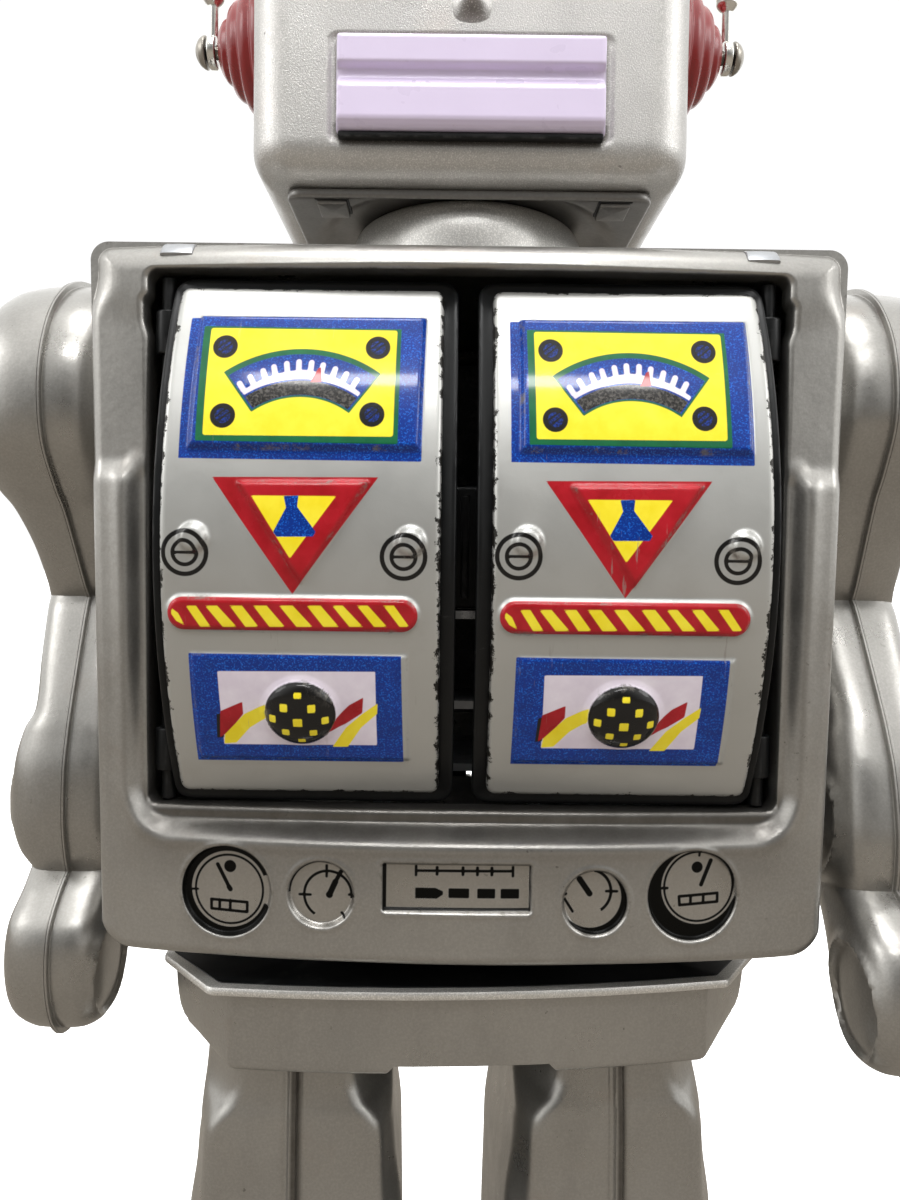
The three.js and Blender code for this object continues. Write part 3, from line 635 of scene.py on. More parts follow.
def metal(name, base, rough, amount, tarnish="#5c5348", brushed=None):
    """amount is the strength of the tarnish; brushed stretches the fine grain."""
    mat = Mat(name)
    base = srgb(base)
    stains = mat.cloud(scale=190, detail=5, roughness=0.65, span=(0.5, 0.75), to=(0, amount))
    color = mat.mix(stains, base, srgb(tarnish))
    color = mat.mix(mat.cloud(scale=40, detail=2, span=(0.3, 0.7), to=(0, 0.3)), color,
                    scaled(base, 0.8))
    roughness = mat.cloud(scale=240, detail=3, span=(0.3, 0.7), to=(rough * 0.7, rough * 1.4))
    grain = mat.noise(scale=1600, detail=2, roughness=0.5, stretch=brushed)
    mat.set(Base_Color=color, Metallic=1.0,
            Roughness=mat.plus(roughness, mat.times(stains, 0.4)),
            Normal=mat.bump(grain, depth=0.012, strength=0.8))
    return mat


def amber_lens():
    mat = Mat("amber_lens")
    facets = mat.cells(620)
    color = mat.mix(mat.cloud(scale=80, detail=3, span=(0.3, 0.7)),
                    srgb("#d9831c"), srgb("#f2b13a"))
    mat.set(Base_Color=color, Roughness=0.12, Transmission_Weight=0.25, IOR=1.49,
            Coat_Weight=0.5, Coat_Roughness=0.05,
            Normal=mat.bump(mat.ramp(facets, span=(0, 0.6)), depth=0.05, strength=0.6),
            Subsurface_Weight=0.1, Subsurface_Scale=0.002)
    return mat


SILVER = silver_paint("silver_paint", rough=0.31)
BRIGHT = silver_paint("bright_paint", base="#cdcbc7", rough=0.38, metallic=0.75, grain=0.02,
                      coarse=(5200, 0.012), wear=0.3)
HEAD = silver_paint("head_paint", base="#b8b6b3", rough=0.40, metallic=0.66, grain=0.015,
                    coarse=(5600, 0.032), specks=0.9, flake=0.1)
# painted shade: a darker copy of the silver paint for the plate under the head and its tabs, which
# face down into shade
SHADED_PLATE = silver_paint("plate_paint_shaded", base="#6f6d6a", rough=0.42, metallic=0.7, grain=0.02)
BLACK = plastic("black_plastic", "#0b0c0d", rough=0.36, scuff=0.22, scuff_color="#6a6a6a")
BLACK.set(Specular_IOR_Level=0.22)
RED = plastic("red_plastic", "#800c10", rough=0.27, variation=0.14, scuff=0.16,
              scuff_color="#e0a098", coat=0.1)
PALE = plastic("pale_plastic", "#d5c9e3", rough=0.30, variation=0.02, scuff=0.07,
               scuff_color="#a79aa8", coat=0.35)
NICKEL = metal("nickel", "#d6d4cf", rough=0.2, amount=0.35)
STEEL = metal("steel", "#a3a5a8", rough=0.32, amount=0.35, brushed=(1, 6, 6))
RIVET = metal("dull_nickel", "#97928a", rough=0.36, amount=0.6)
ZINC = metal("zinc", "#b0b3b6", rough=0.42, tarnish="#7b7f80", amount=0.5)
RUBBER = plastic("rubber", "#1b1b1c", rough=0.75, scuff=0.35, scuff_color="#6e6a63",
                 grain_scale=900, grain=0.05)
CELL = plastic("cell_wrap", "#8f2a20", rough=0.32, scuff=0.15, scuff_color="#d8c9a0", coat=0.4)
CELL_END = metal("cell_metal", "#c9c7c0", rough=0.28, amount=0.5)
LENS = amber_lens()

# ===================================================================== doors
DOOR_X, DOOR_HALF_X = 21.25, 17.95       # middle and half width
DOOR_Z, DOOR_HALF_Z = 166.15, 34.85      # middle and half height
ROD_X, ROD_Y = 41.6, -28.5               # hinge rod

# Figures printed on both doors, as (x from the door's middle, z).
FRAME_TOP = [[-15.77, 195.95], [15.64, 196.1], [15.35, 176.46], [-15.68, 176.56]]
FRAME_LOW = [[-14.6, 151.59], [13.0, 151.53], [13.2, 136.46], [-14.8, 136.39]]
GREEN = [[-13.61, 194.14], [12.39, 193.99], [12.31, 178.41], [-13.42, 178.58]]
YELLOW = [[-12.75, 193.78], [11.89, 193.7], [11.77, 179.46], [-12.59, 179.39]]
YELLOW_Z, YELLOW_SCALE = 186.6, 0.97     # the yellow figure shrinks about this height
SCREWS = [[-10.56, 191.21], [9.39, 191.29], [-10.12, 181.85], [8.94, 182.21]]
FAN_CENTRE = (-0.25, 173.9)
FAN_TEETH = [-33.2, -27.0, -20.0, -14.4, -8.0, -2.0, 4.2, 10.0, 16.4, 22.6, 28.8]   # degrees
TRIANGLE_RED = [[-11.28, 174.2], [9.93, 174.4], [-0.91, 159.36]]
TRIANGLE_PRESSED = [[-7.9, 173.5], [8.6, 173.7], [0.2, 160.9]]
TRIANGLE_YELLOW = [[-6.07, 171.75], [4.68, 171.79], [-1.07, 163.94]]
FLASK = [[-1.95, 171.75], [-0.05, 171.82], [-0.21, 170.43], [2.19, 167.31], [1.84, 166.7],
         [-2.78, 166.64], [-3.22, 167.24], [-1.61, 170.29]]
TARGETS = [[-14.6, 164.55], [13.25, 164.3]]
BUMPS = [[-13.5, 166.4], [14.1, 166.2]]
STRIPES = [
    [[-14.36, 157.88], [-13.05, 157.89], [-11.27, 155.22], [-12.61, 155.2]],
    [[-11.9, 157.91], [-10.36, 157.93], [-7.95, 155.26], [-9.72, 155.23]],
    [[-8.77, 157.95], [-7.2, 157.97], [-5.17, 155.3], [-6.84, 155.28]],
    [[-5.78, 157.99], [-4.06, 158.01], [-1.8, 155.34], [-3.77, 155.32]],
    [[-2.47, 158.03], [-0.76, 158.06], [1.72, 155.39], [-0.32, 155.36]],
    [[1.03, 158.08], [2.79, 158.1], [5.09, 155.43], [3.12, 155.41]],
    [[4.26, 158.12], [5.61, 158.14], [8.16, 155.47], [6.44, 155.45]],
    [[7.4, 158.16], [8.79, 158.18], [11.24, 155.51], [9.59, 155.49]],
    [[10.77, 158.21], [12.1, 158.22], [14.06, 155.55], [12.83, 155.54]],
    [[-16.21, 157.56], [-15.37, 156.95], [-14.59, 155.35], [-15.67, 155.96], [-16.24, 156.82]],
]
LAVENDER = [[-10.87, 149.33], [9.63, 149.51], [9.68, 139.25], [-10.83, 139.14]]
# x, z, half width, half height
SQUARES = [
    (-0.35, 146.81, 0.5, 0.34), (-2.2, 145.24, 0.5, 0.5), (1.43, 145.19, 0.5, 0.5),
    (-3.8, 143.62, 0.45, 0.5), (-0.43, 143.38, 0.6, 0.54), (3.1, 143.48, 0.45, 0.48),
    (-2.12, 141.9, 0.5, 0.45), (1.52, 141.85, 0.48, 0.43), (-0.1, 140.62, 0.48, 0.3)]
RED_LEFT = [[-10.92, 143.86], [-7.9, 145.22], [-7.91, 143.49], [-9.0, 142.2],
            [-10.6, 140.56], [-11.29, 140.13]]
RED_RIGHT = [[3.14, 140.9], [4.41, 143.2], [6.1, 144.9], [8.02, 146.0],
             [7.84, 143.85], [5.63, 142.32], [2.75, 140.89]]
BLACK_LEFT = [[-11.44, 143.44], [-10.82, 143.59], [-10.7, 140.14], [-11.69, 140.04]]
YELLOW_LEFT = [[-10.59, 140.7], [-7.78, 143.5], [-4.63, 145.1], [-4.98, 142.99],
               [-7.18, 141.58], [-9.18, 139.37], [-10.82, 139.2]]
YELLOW_RIGHT = [[3.68, 138.93], [5.61, 141.77], [7.83, 143.72], [9.89, 145.23],
                [9.79, 143.74], [7.65, 141.8], [5.75, 138.96]]
NEEDLE = [[2.1, 188.5], [2.35, 186.45], [0.85, 186.4], [1.75, 188.3]]
DOME_CENTRE, DOME_HALF, DOME_SIZE = (-0.28, 143.9), (4.67, 4.3), 4.4


def door_y(z):
    """Depth of the bowed door sheet."""
    return -30.8 - 10.0 * (1 - ((z - DOOR_Z) / DOOR_HALF_Z) ** 2)


def door_sheet(x, z):
    """Points on the door sheet and their forward normals."""
    normals = xyz(np.zeros(len(z)), -1.0, 20.0 * (z - DOOR_Z) / DOOR_HALF_Z**2)
    return xyz(x, door_y(z), z), normals / np.linalg.norm(normals, axis=1)[:, None]


def dome(points):
    scaled_points = (points - np.array(DOME_CENTRE)) / np.array(DOME_HALF)
    return (np.linalg.norm(scaled_points, axis=1) - 1) * DOME_SIZE


def door_relief(points):
    """Height of the pressed panels above the door sheet."""
    # figure, height, width of the sloping edge
    panels = [
        (polygon(points, [[-14.2, 195.9], [15.4, 196.0], [15.0, 178.0], [-14.3, 178.0]]),
         0.85, 0.9),
        (polygon(points, TRIANGLE_PRESSED), 0.75, 0.8),
        (box(points, (-0.9, 156.85), (16.0, 2.1), 2.05), 0.8, 1.1),
        (polygon(points, [[-14.2, 151.5], [13.6, 151.5], [13.8, 137.0], [-14.3, 137.0]]),
         0.45, 0.8),
    ]
    height = np.zeros(len(points))
    for figure, top, slope in panels:
        height = np.maximum(height, top * ease(slope * 0.5, -slope * 0.5, figure))
    figure = dome(points)
    depth = np.clip(-figure / DOME_SIZE, 0, 1)
    height = height + 1.7 * np.sqrt(1 - (1 - depth) ** 2) + 0.25 * ease(0.9, 0.0, figure)
    for centre in BUMPS:
        height = height + 0.95 * ease(2.3, 1.1, away(points, centre))
    return height


def printed_figures(points):
    """Signed distance to each ink, in printing order."""
    x, z = points.T
    radius = away(points, FAN_CENTRE)
    lean = np.abs(np.degrees(np.arctan2(x - FAN_CENTRE[0], z - FAN_CENTRE[1])))
    fan_side = np.radians(lean - 36.5) * radius
    scale = overlap(ring(radius, 12.95, 14.2 - lean * 0.02), np.radians(lean - 34.4) * radius)
    for degrees in FAN_TEETH:
        sine, cosine = math.sin(math.radians(degrees)), math.cos(math.radians(degrees))
        root, tip = [(FAN_CENTRE[0] + sine * reach, FAN_CENTRE[1] + cosine * reach)
                     for reach in (13.6, 15.35 - abs(degrees) * 0.022)]
        scale = union(scale, segment(points, root, tip, 0.36))

    yellow = [[x_ * YELLOW_SCALE, YELLOW_Z + (z_ - YELLOW_Z) * YELLOW_SCALE] for x_, z_ in YELLOW]
    yellow_parts = [polygon(points, yellow, 0.3), polygon(points, TRIANGLE_YELLOW)]
    yellow_parts += [polygon(points, stripe) for stripe in STRIPES]

    dome_part = dome(points)
    black = [dome_part, polygon(points, BLACK_LEFT)]
    for centre in SCREWS:
        reach = away(points, centre)
        across = (x - centre[0]) * 0.64 - (z - centre[1]) * 0.77
        slot_lines = union(np.abs(across - 0.18), np.abs(across + 0.45)) - 0.12
        black += [ring(reach, 0.98, 1.62), overlap(slot_lines, reach - 1.3)]
    for centre in TARGETS:
        reach = away(points, centre)
        black += [ring(reach, 2.45, 3.05), ring(reach, 1.28, 1.8),
                  overlap(np.abs(z - centre[1]) - 0.2, reach - 1.6)]

    squares = [box(points, (x_, z_), half, 0.08) for x_, z_, *half in SQUARES]
    strokes = union(polygon(points, YELLOW_LEFT), polygon(points, YELLOW_RIGHT))
    return {
        "a_blue": union(polygon(points, FRAME_TOP), polygon(points, FRAME_LOW)),
        "a_green": polygon(points, GREEN),
        "a_red": union(polygon(points, TRIANGLE_RED),
                       box(points, (-0.88, 156.85), (16.0, 2.12), 2.1)),
        "a_lav": polygon(points, LAVENDER),
        "a_yel": union(*yellow_parts),
        "a_fangreen": overlap(ring(radius, 10.5, 17.1), fan_side),
        "a_fanblue": overlap(ring(radius, 10.75, 16.35), fan_side + 0.25),
        "a_white": scale,
        "a_lower": overlap(ring(radius, 10.8, 12.7), fan_side + 0.45),
        "a_flask": polygon(points, FLASK),
        "a_screwblue": union(*[disc(points, centre, 1.25) for centre in SCREWS]),
        "a_black": union(*black),
        "a_yel2": union(overlap(strokes, -dome_part), *squares),
        "a_red2": union(overlap(polygon(points, RED_LEFT), -dome_part),
                        polygon(points, RED_RIGHT), polygon(points, NEEDLE)),
    }


def door_material():
    """Printed inks over metallic paint, with rubbed relief and a chipped rim."""
    mat = Mat("door_litho")
    silver = srgb("#adadaa")
    color = mat.mix(mat.cloud(scale=40, detail=3, span=(0.3, 0.7)),
                    scaled(silver, 0.93), scaled(silver, 1.05))
    smear = mat.cloud(scale=140, detail=5, roughness=0.7, span=(0.55, 0.8), to=(0, 0.22))
    color = mat.mix(smear, color, srgb("#8f8a84"))
    dots = mat.noise(scale=4200, detail=1, roughness=0.5)
    tone = mat.noise(scale=260, detail=3, roughness=0.6)

    def toned(dark, light):
        return mat.mix(mat.ramp(tone, span=(0.3, 0.7)), srgb(dark), srgb(light))

    blue = mat.mix(mat.ramp(dots, span=(0.52, 0.72)), srgb("#062f86"), srgb("#1a66cc"))
    blue = mat.mix(mat.ramp(tone, span=(0.35, 0.7), to=(0, 0.5)), blue, srgb("#052668"))
    dark_blue = mat.mix(mat.ramp(dots, span=(0.45, 0.65)), srgb("#09163f"), srgb("#12348a"))
    green = toned("#0c5232", "#12663c")
    red = toned("#920f17", "#ab1a26")
    yellow = toned("#e6d020", "#efde3c")
    lavender = toned("#d3c8d6", "#e2dae4")
    charcoal = mat.mix(mat.cloud(scale=2600, detail=2, span=(0.46, 0.6)),
                       srgb("#161411"), srgb("#4c4945"))
    inks = {"a_blue": blue, "a_green": green, "a_red": red, "a_lav": lavender,
            "a_yel": yellow, "a_fangreen": green, "a_fanblue": blue, "a_white": lavender,
            "a_lower": charcoal, "a_flask": blue, "a_screwblue": dark_blue,
            "a_black": srgb("#121110"), "a_yel2": yellow, "a_red2": red}
    for name, ink in inks.items():
        color = mat.mix(mat.ink(name), color, ink)

    rub = mat.times(mat.ramp(mat.attribute("rub"), span=(0.25, 0.8)),
                    mat.cloud(scale=330, detail=5, roughness=0.7, span=(0.55, 0.66)))
    color = mat.mix(mat.times(rub, 0.8), color, srgb("#6a6660"))
    rim = mat.times(mat.attribute("rim"), 0.36)
    chips = mat.plus(mat.noise(scale=480, detail=6, roughness=0.75), rim)
    color = mat.mix(mat.ramp(chips, span=(0.80, 0.83)), color, srgb("#24221f"))
    scratches = mat.times(mat.cloud(scale=90, detail=6, roughness=0.6, stretch=(9, 1, 1),
                                    span=(0.66, 0.69)),
                          mat.cloud(scale=55, detail=2, span=(0.52, 0.6)))
    color = mat.mix(mat.times(scratches, 0.5), color, srgb("#8b8680"))
    inked = mat.ink("a_any", width=0.1)

    def surface(bare, printed):
        return mat.mix_value(inked, bare, printed)

    fine = mat.bump(mat.noise(scale=2600, detail=2), depth=0.006, strength=0.8)
    grain = mat.noise(scale=700, detail=2, roughness=0.5)
    mat.set(Base_Color=color, Metallic=surface(bare=0.66, printed=0.0),
            Specular_IOR_Level=surface(bare=0.4, printed=0.12),
            Roughness=mat.plus(surface(bare=0.37, printed=0.24),
                               mat.cloud(scale=170, detail=4, span=(0.3, 0.75),
                                         to=(-0.03, 0.08))),
            Coat_Weight=surface(bare=0.06, printed=0.42), Coat_Roughness=0.07,
            Normal=mat.bump(grain, depth=0.018, strength=0.9, under=fine))
    return mat


DOOR = door_material()


def door_cover(side, sign):
    """Printed tin sheet with a rim turned back all round."""
    edge_steps = (0, 0.08, 0.2, 0.38, 0.62, 0.95)
    across = graded(DOOR_HALF_X, edge_steps, 1.25, 160)
    along = graded(DOOR_HALF_Z, edge_steps, 1.25, 300)
    rows, columns = len(across), len(along)
    a, b, inset = plate_grid(across, along, DOOR_HALF_X, DOOR_HALF_Z, 1.3)
    points = np.column_stack([a, b + DOOR_Z])
    relief = door_relief(points)
    height = relief * ease(0.3, 1.4, inset) - edge_roll(inset, 0.75)
    base, normals = door_sheet(a + DOOR_X * sign, points[:, 1])
    verts = base + normals * height[:, None]
    loop = rim_loop(rows, columns)
    back = verts[loop] - normals[loop] * 0.55
    turned_in = base[loop] - normals[loop] * 0.95
    middle = np.array([DOOR_X * sign, 0, DOOR_Z])
    turned_in = turned_in + (middle - turned_in) * np.array([0.03, 0, 0.015])
    faces = grid_faces(rows, columns)
    offset, count = rows * columns, len(loop)
    for k in range(count):
        after = (k + 1) % count
        faces.append([loop[k], loop[after], offset + after, offset + k])
        faces.append([offset + k, offset + after, offset + count + after, offset + count + k])

    # the turned rim repeats the values of the border and carries no ink
    source = np.concatenate([np.arange(offset), loop, loop])
    figures = printed_figures(points)
    figures["a_any"] = union(*figures.values())
    attributes = {}
    for key, figure in figures.items():
        values = figure[source]
        values[offset:] = np.maximum(values[offset:], 0.5)
        attributes[key] = values
    slope_x, slope_z = np.gradient(relief.reshape(rows, columns))
    steep = np.hypot(slope_x / 0.3, slope_z / 0.3).ravel()
    attributes["rub"] = np.clip(steep, 0, 1)[source]
    attributes["rim"] = np.clip(1 - inset / 1.6, 0, 1)[source]
    make("tin_door_" + side, (np.concatenate([verts, back, turned_in]), faces), DOOR,
         side + "_door", "door_cover_" + side, sharp=50,
         attributes=attributes)


def liner_plate(sign):
    """Plate behind the door sheet, following its curve, with a raised border."""
    x0, x1, z0, z1 = 1.3, 40.3, 130.0, 202.3
    front, back = 1.35, 2.75             # distances behind the door sheet
    lip, lip_width = 0.55, 0.75
    half_x, half_z = (x1 - x0) / 2, (z1 - z0) / 2
    across = graded(half_x, (0, 0.15, 0.4), 0.8, 40)
    along = graded(half_z, (0, 0.15, 0.4), 0.8, 110)
    a, b, inset = plate_grid(across, along, half_x, half_z, 2.4)
    base, normals = door_sheet((a + (x0 + x1) / 2) * sign, b + (z0 + z1) / 2)
    roll = edge_roll(inset, 0.4)
    raised = lip * ease(lip_width + 0.25, lip_width - 0.05, inset) - roll
    sunk = roll - 0.7 * ease(1.6, 1.2, inset)
    return two_sided(base + np.array([0, front, 0]) + normals * raised[:, None],
                     base + np.array([0, back, 0]) + normals * sunk[:, None],
                     len(across), len(along))


def door_liner(side, sign):
    """Liner plate with hinge barrels and arms at two heights, and three ribs inside."""
    parts = [liner_plate(sign)]
    rod_at = (ROD_X * sign, ROD_Y, 0)
    for z in (134.0, 192.0):
        barrel = fillet([(1.12, z), (1.8, z), (1.8, z + 6), (1.12, z + 6)], 0.35, 3, closed=True)
        parts.append(lathe(barrel, 28, "z", rod_at, loop=True))
        y = max(door_y(z), door_y(z + 6)) + 1.7
        parts.append(rounded_box(37.6 * sign, 40.5 * sign, y, ROD_Y + 0.9,
                                 z + 0.1, z + 5.9, 0.35))
    for z in (148.0, 166.0, 184.0):
        y = door_y(z) + 2.6
        parts.append(rounded_box(5.0 * sign, 36.5 * sign, y, y + 1.0, z - 0.6, z + 0.6, 0.3))
    make("liner_" + side, merge(*parts), BLACK, side + "_door", "door_liner_" + side, sharp=45)
    rod = fillet([(0, 129.9), (1.0, 129.9), (1.0, 202.6), (0, 202.6)], 0.2, 3)
    make("rod_" + side, lathe(rod, 24, "z", rod_at), BLACK, "torso", "hinge_rod_" + side)


for side, sign in SIDES:
    door_cover(side, sign)
    door_liner(side, sign)

# =============================================================== chest front
# x, z, radius
ROUND_DIALS = [(-32.1, 118.5, 6.1), (-19.0, 118.65, 4.4), (18.13, 117.95, 4.35),
               (31.6, 118.7, 6.15)]
# Printed lines: x and z of the start, x and z of the end, half width.
DIAL_LINES = [
    # large left dial
    (-37.7, 118.2, -36.3, 118.25, 0.17), (-33.5, 121.87, -31.75, 118.55, 0.28),
    (-31.9, 118.8, -31.7, 118.5, 0.36), (-34.4, 116.95, -29.3, 116.8, 0.22),
    (-34.35, 115.65, -29.3, 115.45, 0.22), (-34.38, 116.95, -34.35, 115.65, 0.22),
    (-29.3, 116.8, -29.3, 115.45, 0.22), (-33.2, 116.95, -33.2, 115.6, 0.22),
    (-31.7, 116.95, -31.7, 115.6, 0.22),
    # small left dial
    (-22.0, 118.3, -20.5, 118.3, 0.2), (-18.3, 120.9, -18.3, 122.4, 0.2),
    (-15.2, 118.5, -14.6, 118.5, 0.2), (-16.2, 116.0, -15.8, 115.6, 0.2),
    (-17.9, 118.4, -17.1, 120.2, 0.42), (-17.1, 120.2, -16.3, 121.7, 0.3),
    # middle scale
    (-10.4, 123.0, -10.4, 116.9, 0.26), (-10.4, 116.85, 9.2, 116.95, 0.17),
    (9.25, 123.0, 9.25, 117.0, 0.12), (-6.14, 122.06, 6.95, 122.13, 0.2),
    (-6.14, 121.45, -6.14, 122.7, 0.2), (6.95, 121.45, 6.95, 122.7, 0.2),
    (-3.3, 121.6, -3.3, 122.55, 0.22), (0.2, 121.6, 0.2, 122.55, 0.22),
    (2.15, 121.6, 2.15, 122.55, 0.22), (4.1, 121.6, 4.1, 122.55, 0.22),
    # small right dial
    (19.7, 119.35, 21.2, 119.3, 0.2), (14.0, 118.4, 15.15, 116.6, 0.2),
    (17.43, 119.04, 16.0, 121.1, 0.42),
    # large right dial
    (34.26, 123.28, 32.95, 119.95, 0.3), (27.2, 119.6, 28.2, 119.6, 0.2),
    (32.6, 124.0, 32.6, 124.8, 0.18), (29.85, 118.4, 35.3, 118.7, 0.22),
    (29.95, 117.2, 35.3, 117.5, 0.22), (29.85, 118.4, 29.95, 117.2, 0.22),
    (35.3, 118.7, 35.3, 117.5, 0.22), (31.5, 118.5, 31.5, 117.3, 0.22),
    (33.3, 118.6, 33.3, 117.4, 0.22),
]
# x, z, radius
DIAL_DOTS = [(-31.74, 121.68, 0.86), (-17.9, 118.4, 0.5), (14.15, 119.05, 0.24),
             (32.34, 122.38, 0.8)]
SCALE_POINTER = [[-6.2, 119.7], [-3.5, 119.7], [-2.5, 119.25], [-2.5, 118.85],
                 [-3.3, 118.3], [-6.2, 118.3]]
SCALE_BARS = [(-1.75, 1.08), (2.14, 4.6), (5.3, 7.84)]     # from x to x


def dials(points):
    return union(box(points, (-0.62, 119.9), (9.95, 3.2), 0.35),
                 *[disc(points, (x, z), radius) for x, z, radius in ROUND_DIALS])


def chest_y(x, z):
    """Depth of the bowed front sheet with its pressed relief."""
    bow = 1 - (x / CHEST_HALF) ** 2
    recess = -30 - 2.4 * bow
    proud = -30.8 - 5.2 * bow
    past = np.column_stack([np.abs(x) - 40.0, 132.5 - z])
    step = np.linalg.norm(np.maximum(past, 0), axis=1) + np.minimum(past.max(1), 0) - 6.0
    y = recess + (proud - recess) * ease(-1.5, 1.0, step) * (1 - ease(174.2, 177.8, z))
    # a rounded bead runs along the edge of the step
    y = y - 0.30 * np.exp(-((step - 1.5) / 0.9) ** 2) * (1 - ease(172, 177.5, z))
    dial = dials(np.column_stack([x, z]))
    y = y + 0.8 * ease(0.30, -0.30, dial) - 0.12 * np.exp(-((dial - 0.5) / 0.35) ** 2)
    # side beads end in a small round knob
    for sign in (-1, 1):
        y = y - 0.28 * ease(1.9, 0.3, np.hypot(x - sign * 45.4, (z - 176.6) * 0.8))
    # the sheet is pulled a little out of flat
    y = y + 0.04 * np.sin(x * 0.21 + 1.0) * np.sin(z * 0.16)
    return y + 0.015 * np.sin(x * 0.47) * np.sin(z * 0.39 + 2)


def chest_ink(points):
    """Signed distance to the black print on the dials."""

    def polar(centre):
        offset = points - np.array(centre)
        return away(points, centre), np.degrees(np.arctan2(offset[:, 1], offset[:, 0]))

    def arc(distance, inner, outer, shown):
        return overlap(ring(distance, inner, outer), np.where(shown, -1.0, 1.0))

    figures = [segment(points, row[:2], row[2:4], row[4]) for row in DIAL_LINES]
    figures += [disc(points, (x, z), radius) for x, z, radius in DIAL_DOTS]
    figures.append(polygon(points, SCALE_POINTER, 0.05))
    figures += [box(points, ((x0 + x1) / 2, 119.05), ((x1 - x0) / 2, 0.68), 0.15)
                for x0, x1 in SCALE_BARS]
    # large left dial: heavy ring open on the right, thin ring inside
    radius, angle = polar((-32.1, 118.5))
    width = 1.05 + 0.2 * np.cos(np.radians(angle - 190))
    figures.append(overlap(ring(radius, 6.3 - width, 6.3), (20 - np.abs(angle - 2)) * 0.1))
    figures.append(ring(away(points, (-31.85, 118.5)), 4.58, 4.92))
    # small left dial
    radius, angle = polar((-18.1, 118.4))
    figures.append(arc(radius, 3.05, 3.45, (angle >= -8) | (angle <= -122)))
    radius, angle = polar((-19.0, 118.65))
    figures.append(arc(radius, 4.21, 4.49, np.abs(angle - 150) < 78))
    # small right dial
    radius, angle = polar((17.3, 119.3))
    figures.append(arc(radius, 2.83, 3.27, (angle < 78) & (angle > -58)))
    figures.append(overlap(disc(points, (18.13, 117.95), 4.42),
                           -disc(points, (17.62, 118.5), 4.15)))
    # large right dial: dark crescent below a shifted face
    face = away(points, (32.6, 119.75))
    figures.append(overlap(disc(points, (31.6, 118.7), 6.25), 5.25 - face))
    figures.append(ring(face, 4.68, 5.02))
    return union(*figures)


def chest_material():
    mat = Mat("chest_paint")
    color, rough, normal = paint_layers(mat, srgb(PAINT), rough=0.34, grain=0.035)
    color = mat.mix(mat.ink("dial", width=0.2), color, mat.mix(0.25, color, srgb("#a9a49c")))
    # rubbed patches on the raised rims of the dials and along folded edges
    rub = mat.times(mat.ramp(mat.attribute("rub"), span=(0.2, 0.9)),
                    mat.cloud(scale=500, detail=5, roughness=0.7, span=(0.52, 0.62)))
    color = mat.mix(mat.times(rub, 0.5), color, srgb("#5b554d"))
    color = mat.mix(mat.ink("ink"), color, srgb("#030302"))
    worn = mat.times(mat.ramp(mat.attribute("rim"), span=(0.45, 1.0)),
                     mat.cloud(scale=460, detail=5, roughness=0.7, span=(0.60, 0.66)))
    color = mat.mix(mat.times(worn, 0.6), color, (0.10, 0.09, 0.08))
    inked = mat.ink("ink")

    def surface(bare, printed):
        return mat.mix_value(inked, bare, printed)

    mat.set(Base_Color=color, Specular_IOR_Level=surface(bare=0.5, printed=0.1),
            Metallic=surface(bare=0.86, printed=0.0),
            Roughness=mat.plus(rough, mat.times(mat.ink("dial"), -0.04)), Normal=normal,
            Coat_Weight=surface(bare=0.15, printed=0.0), Coat_Roughness=0.2)
    return mat


CHEST = chest_material()


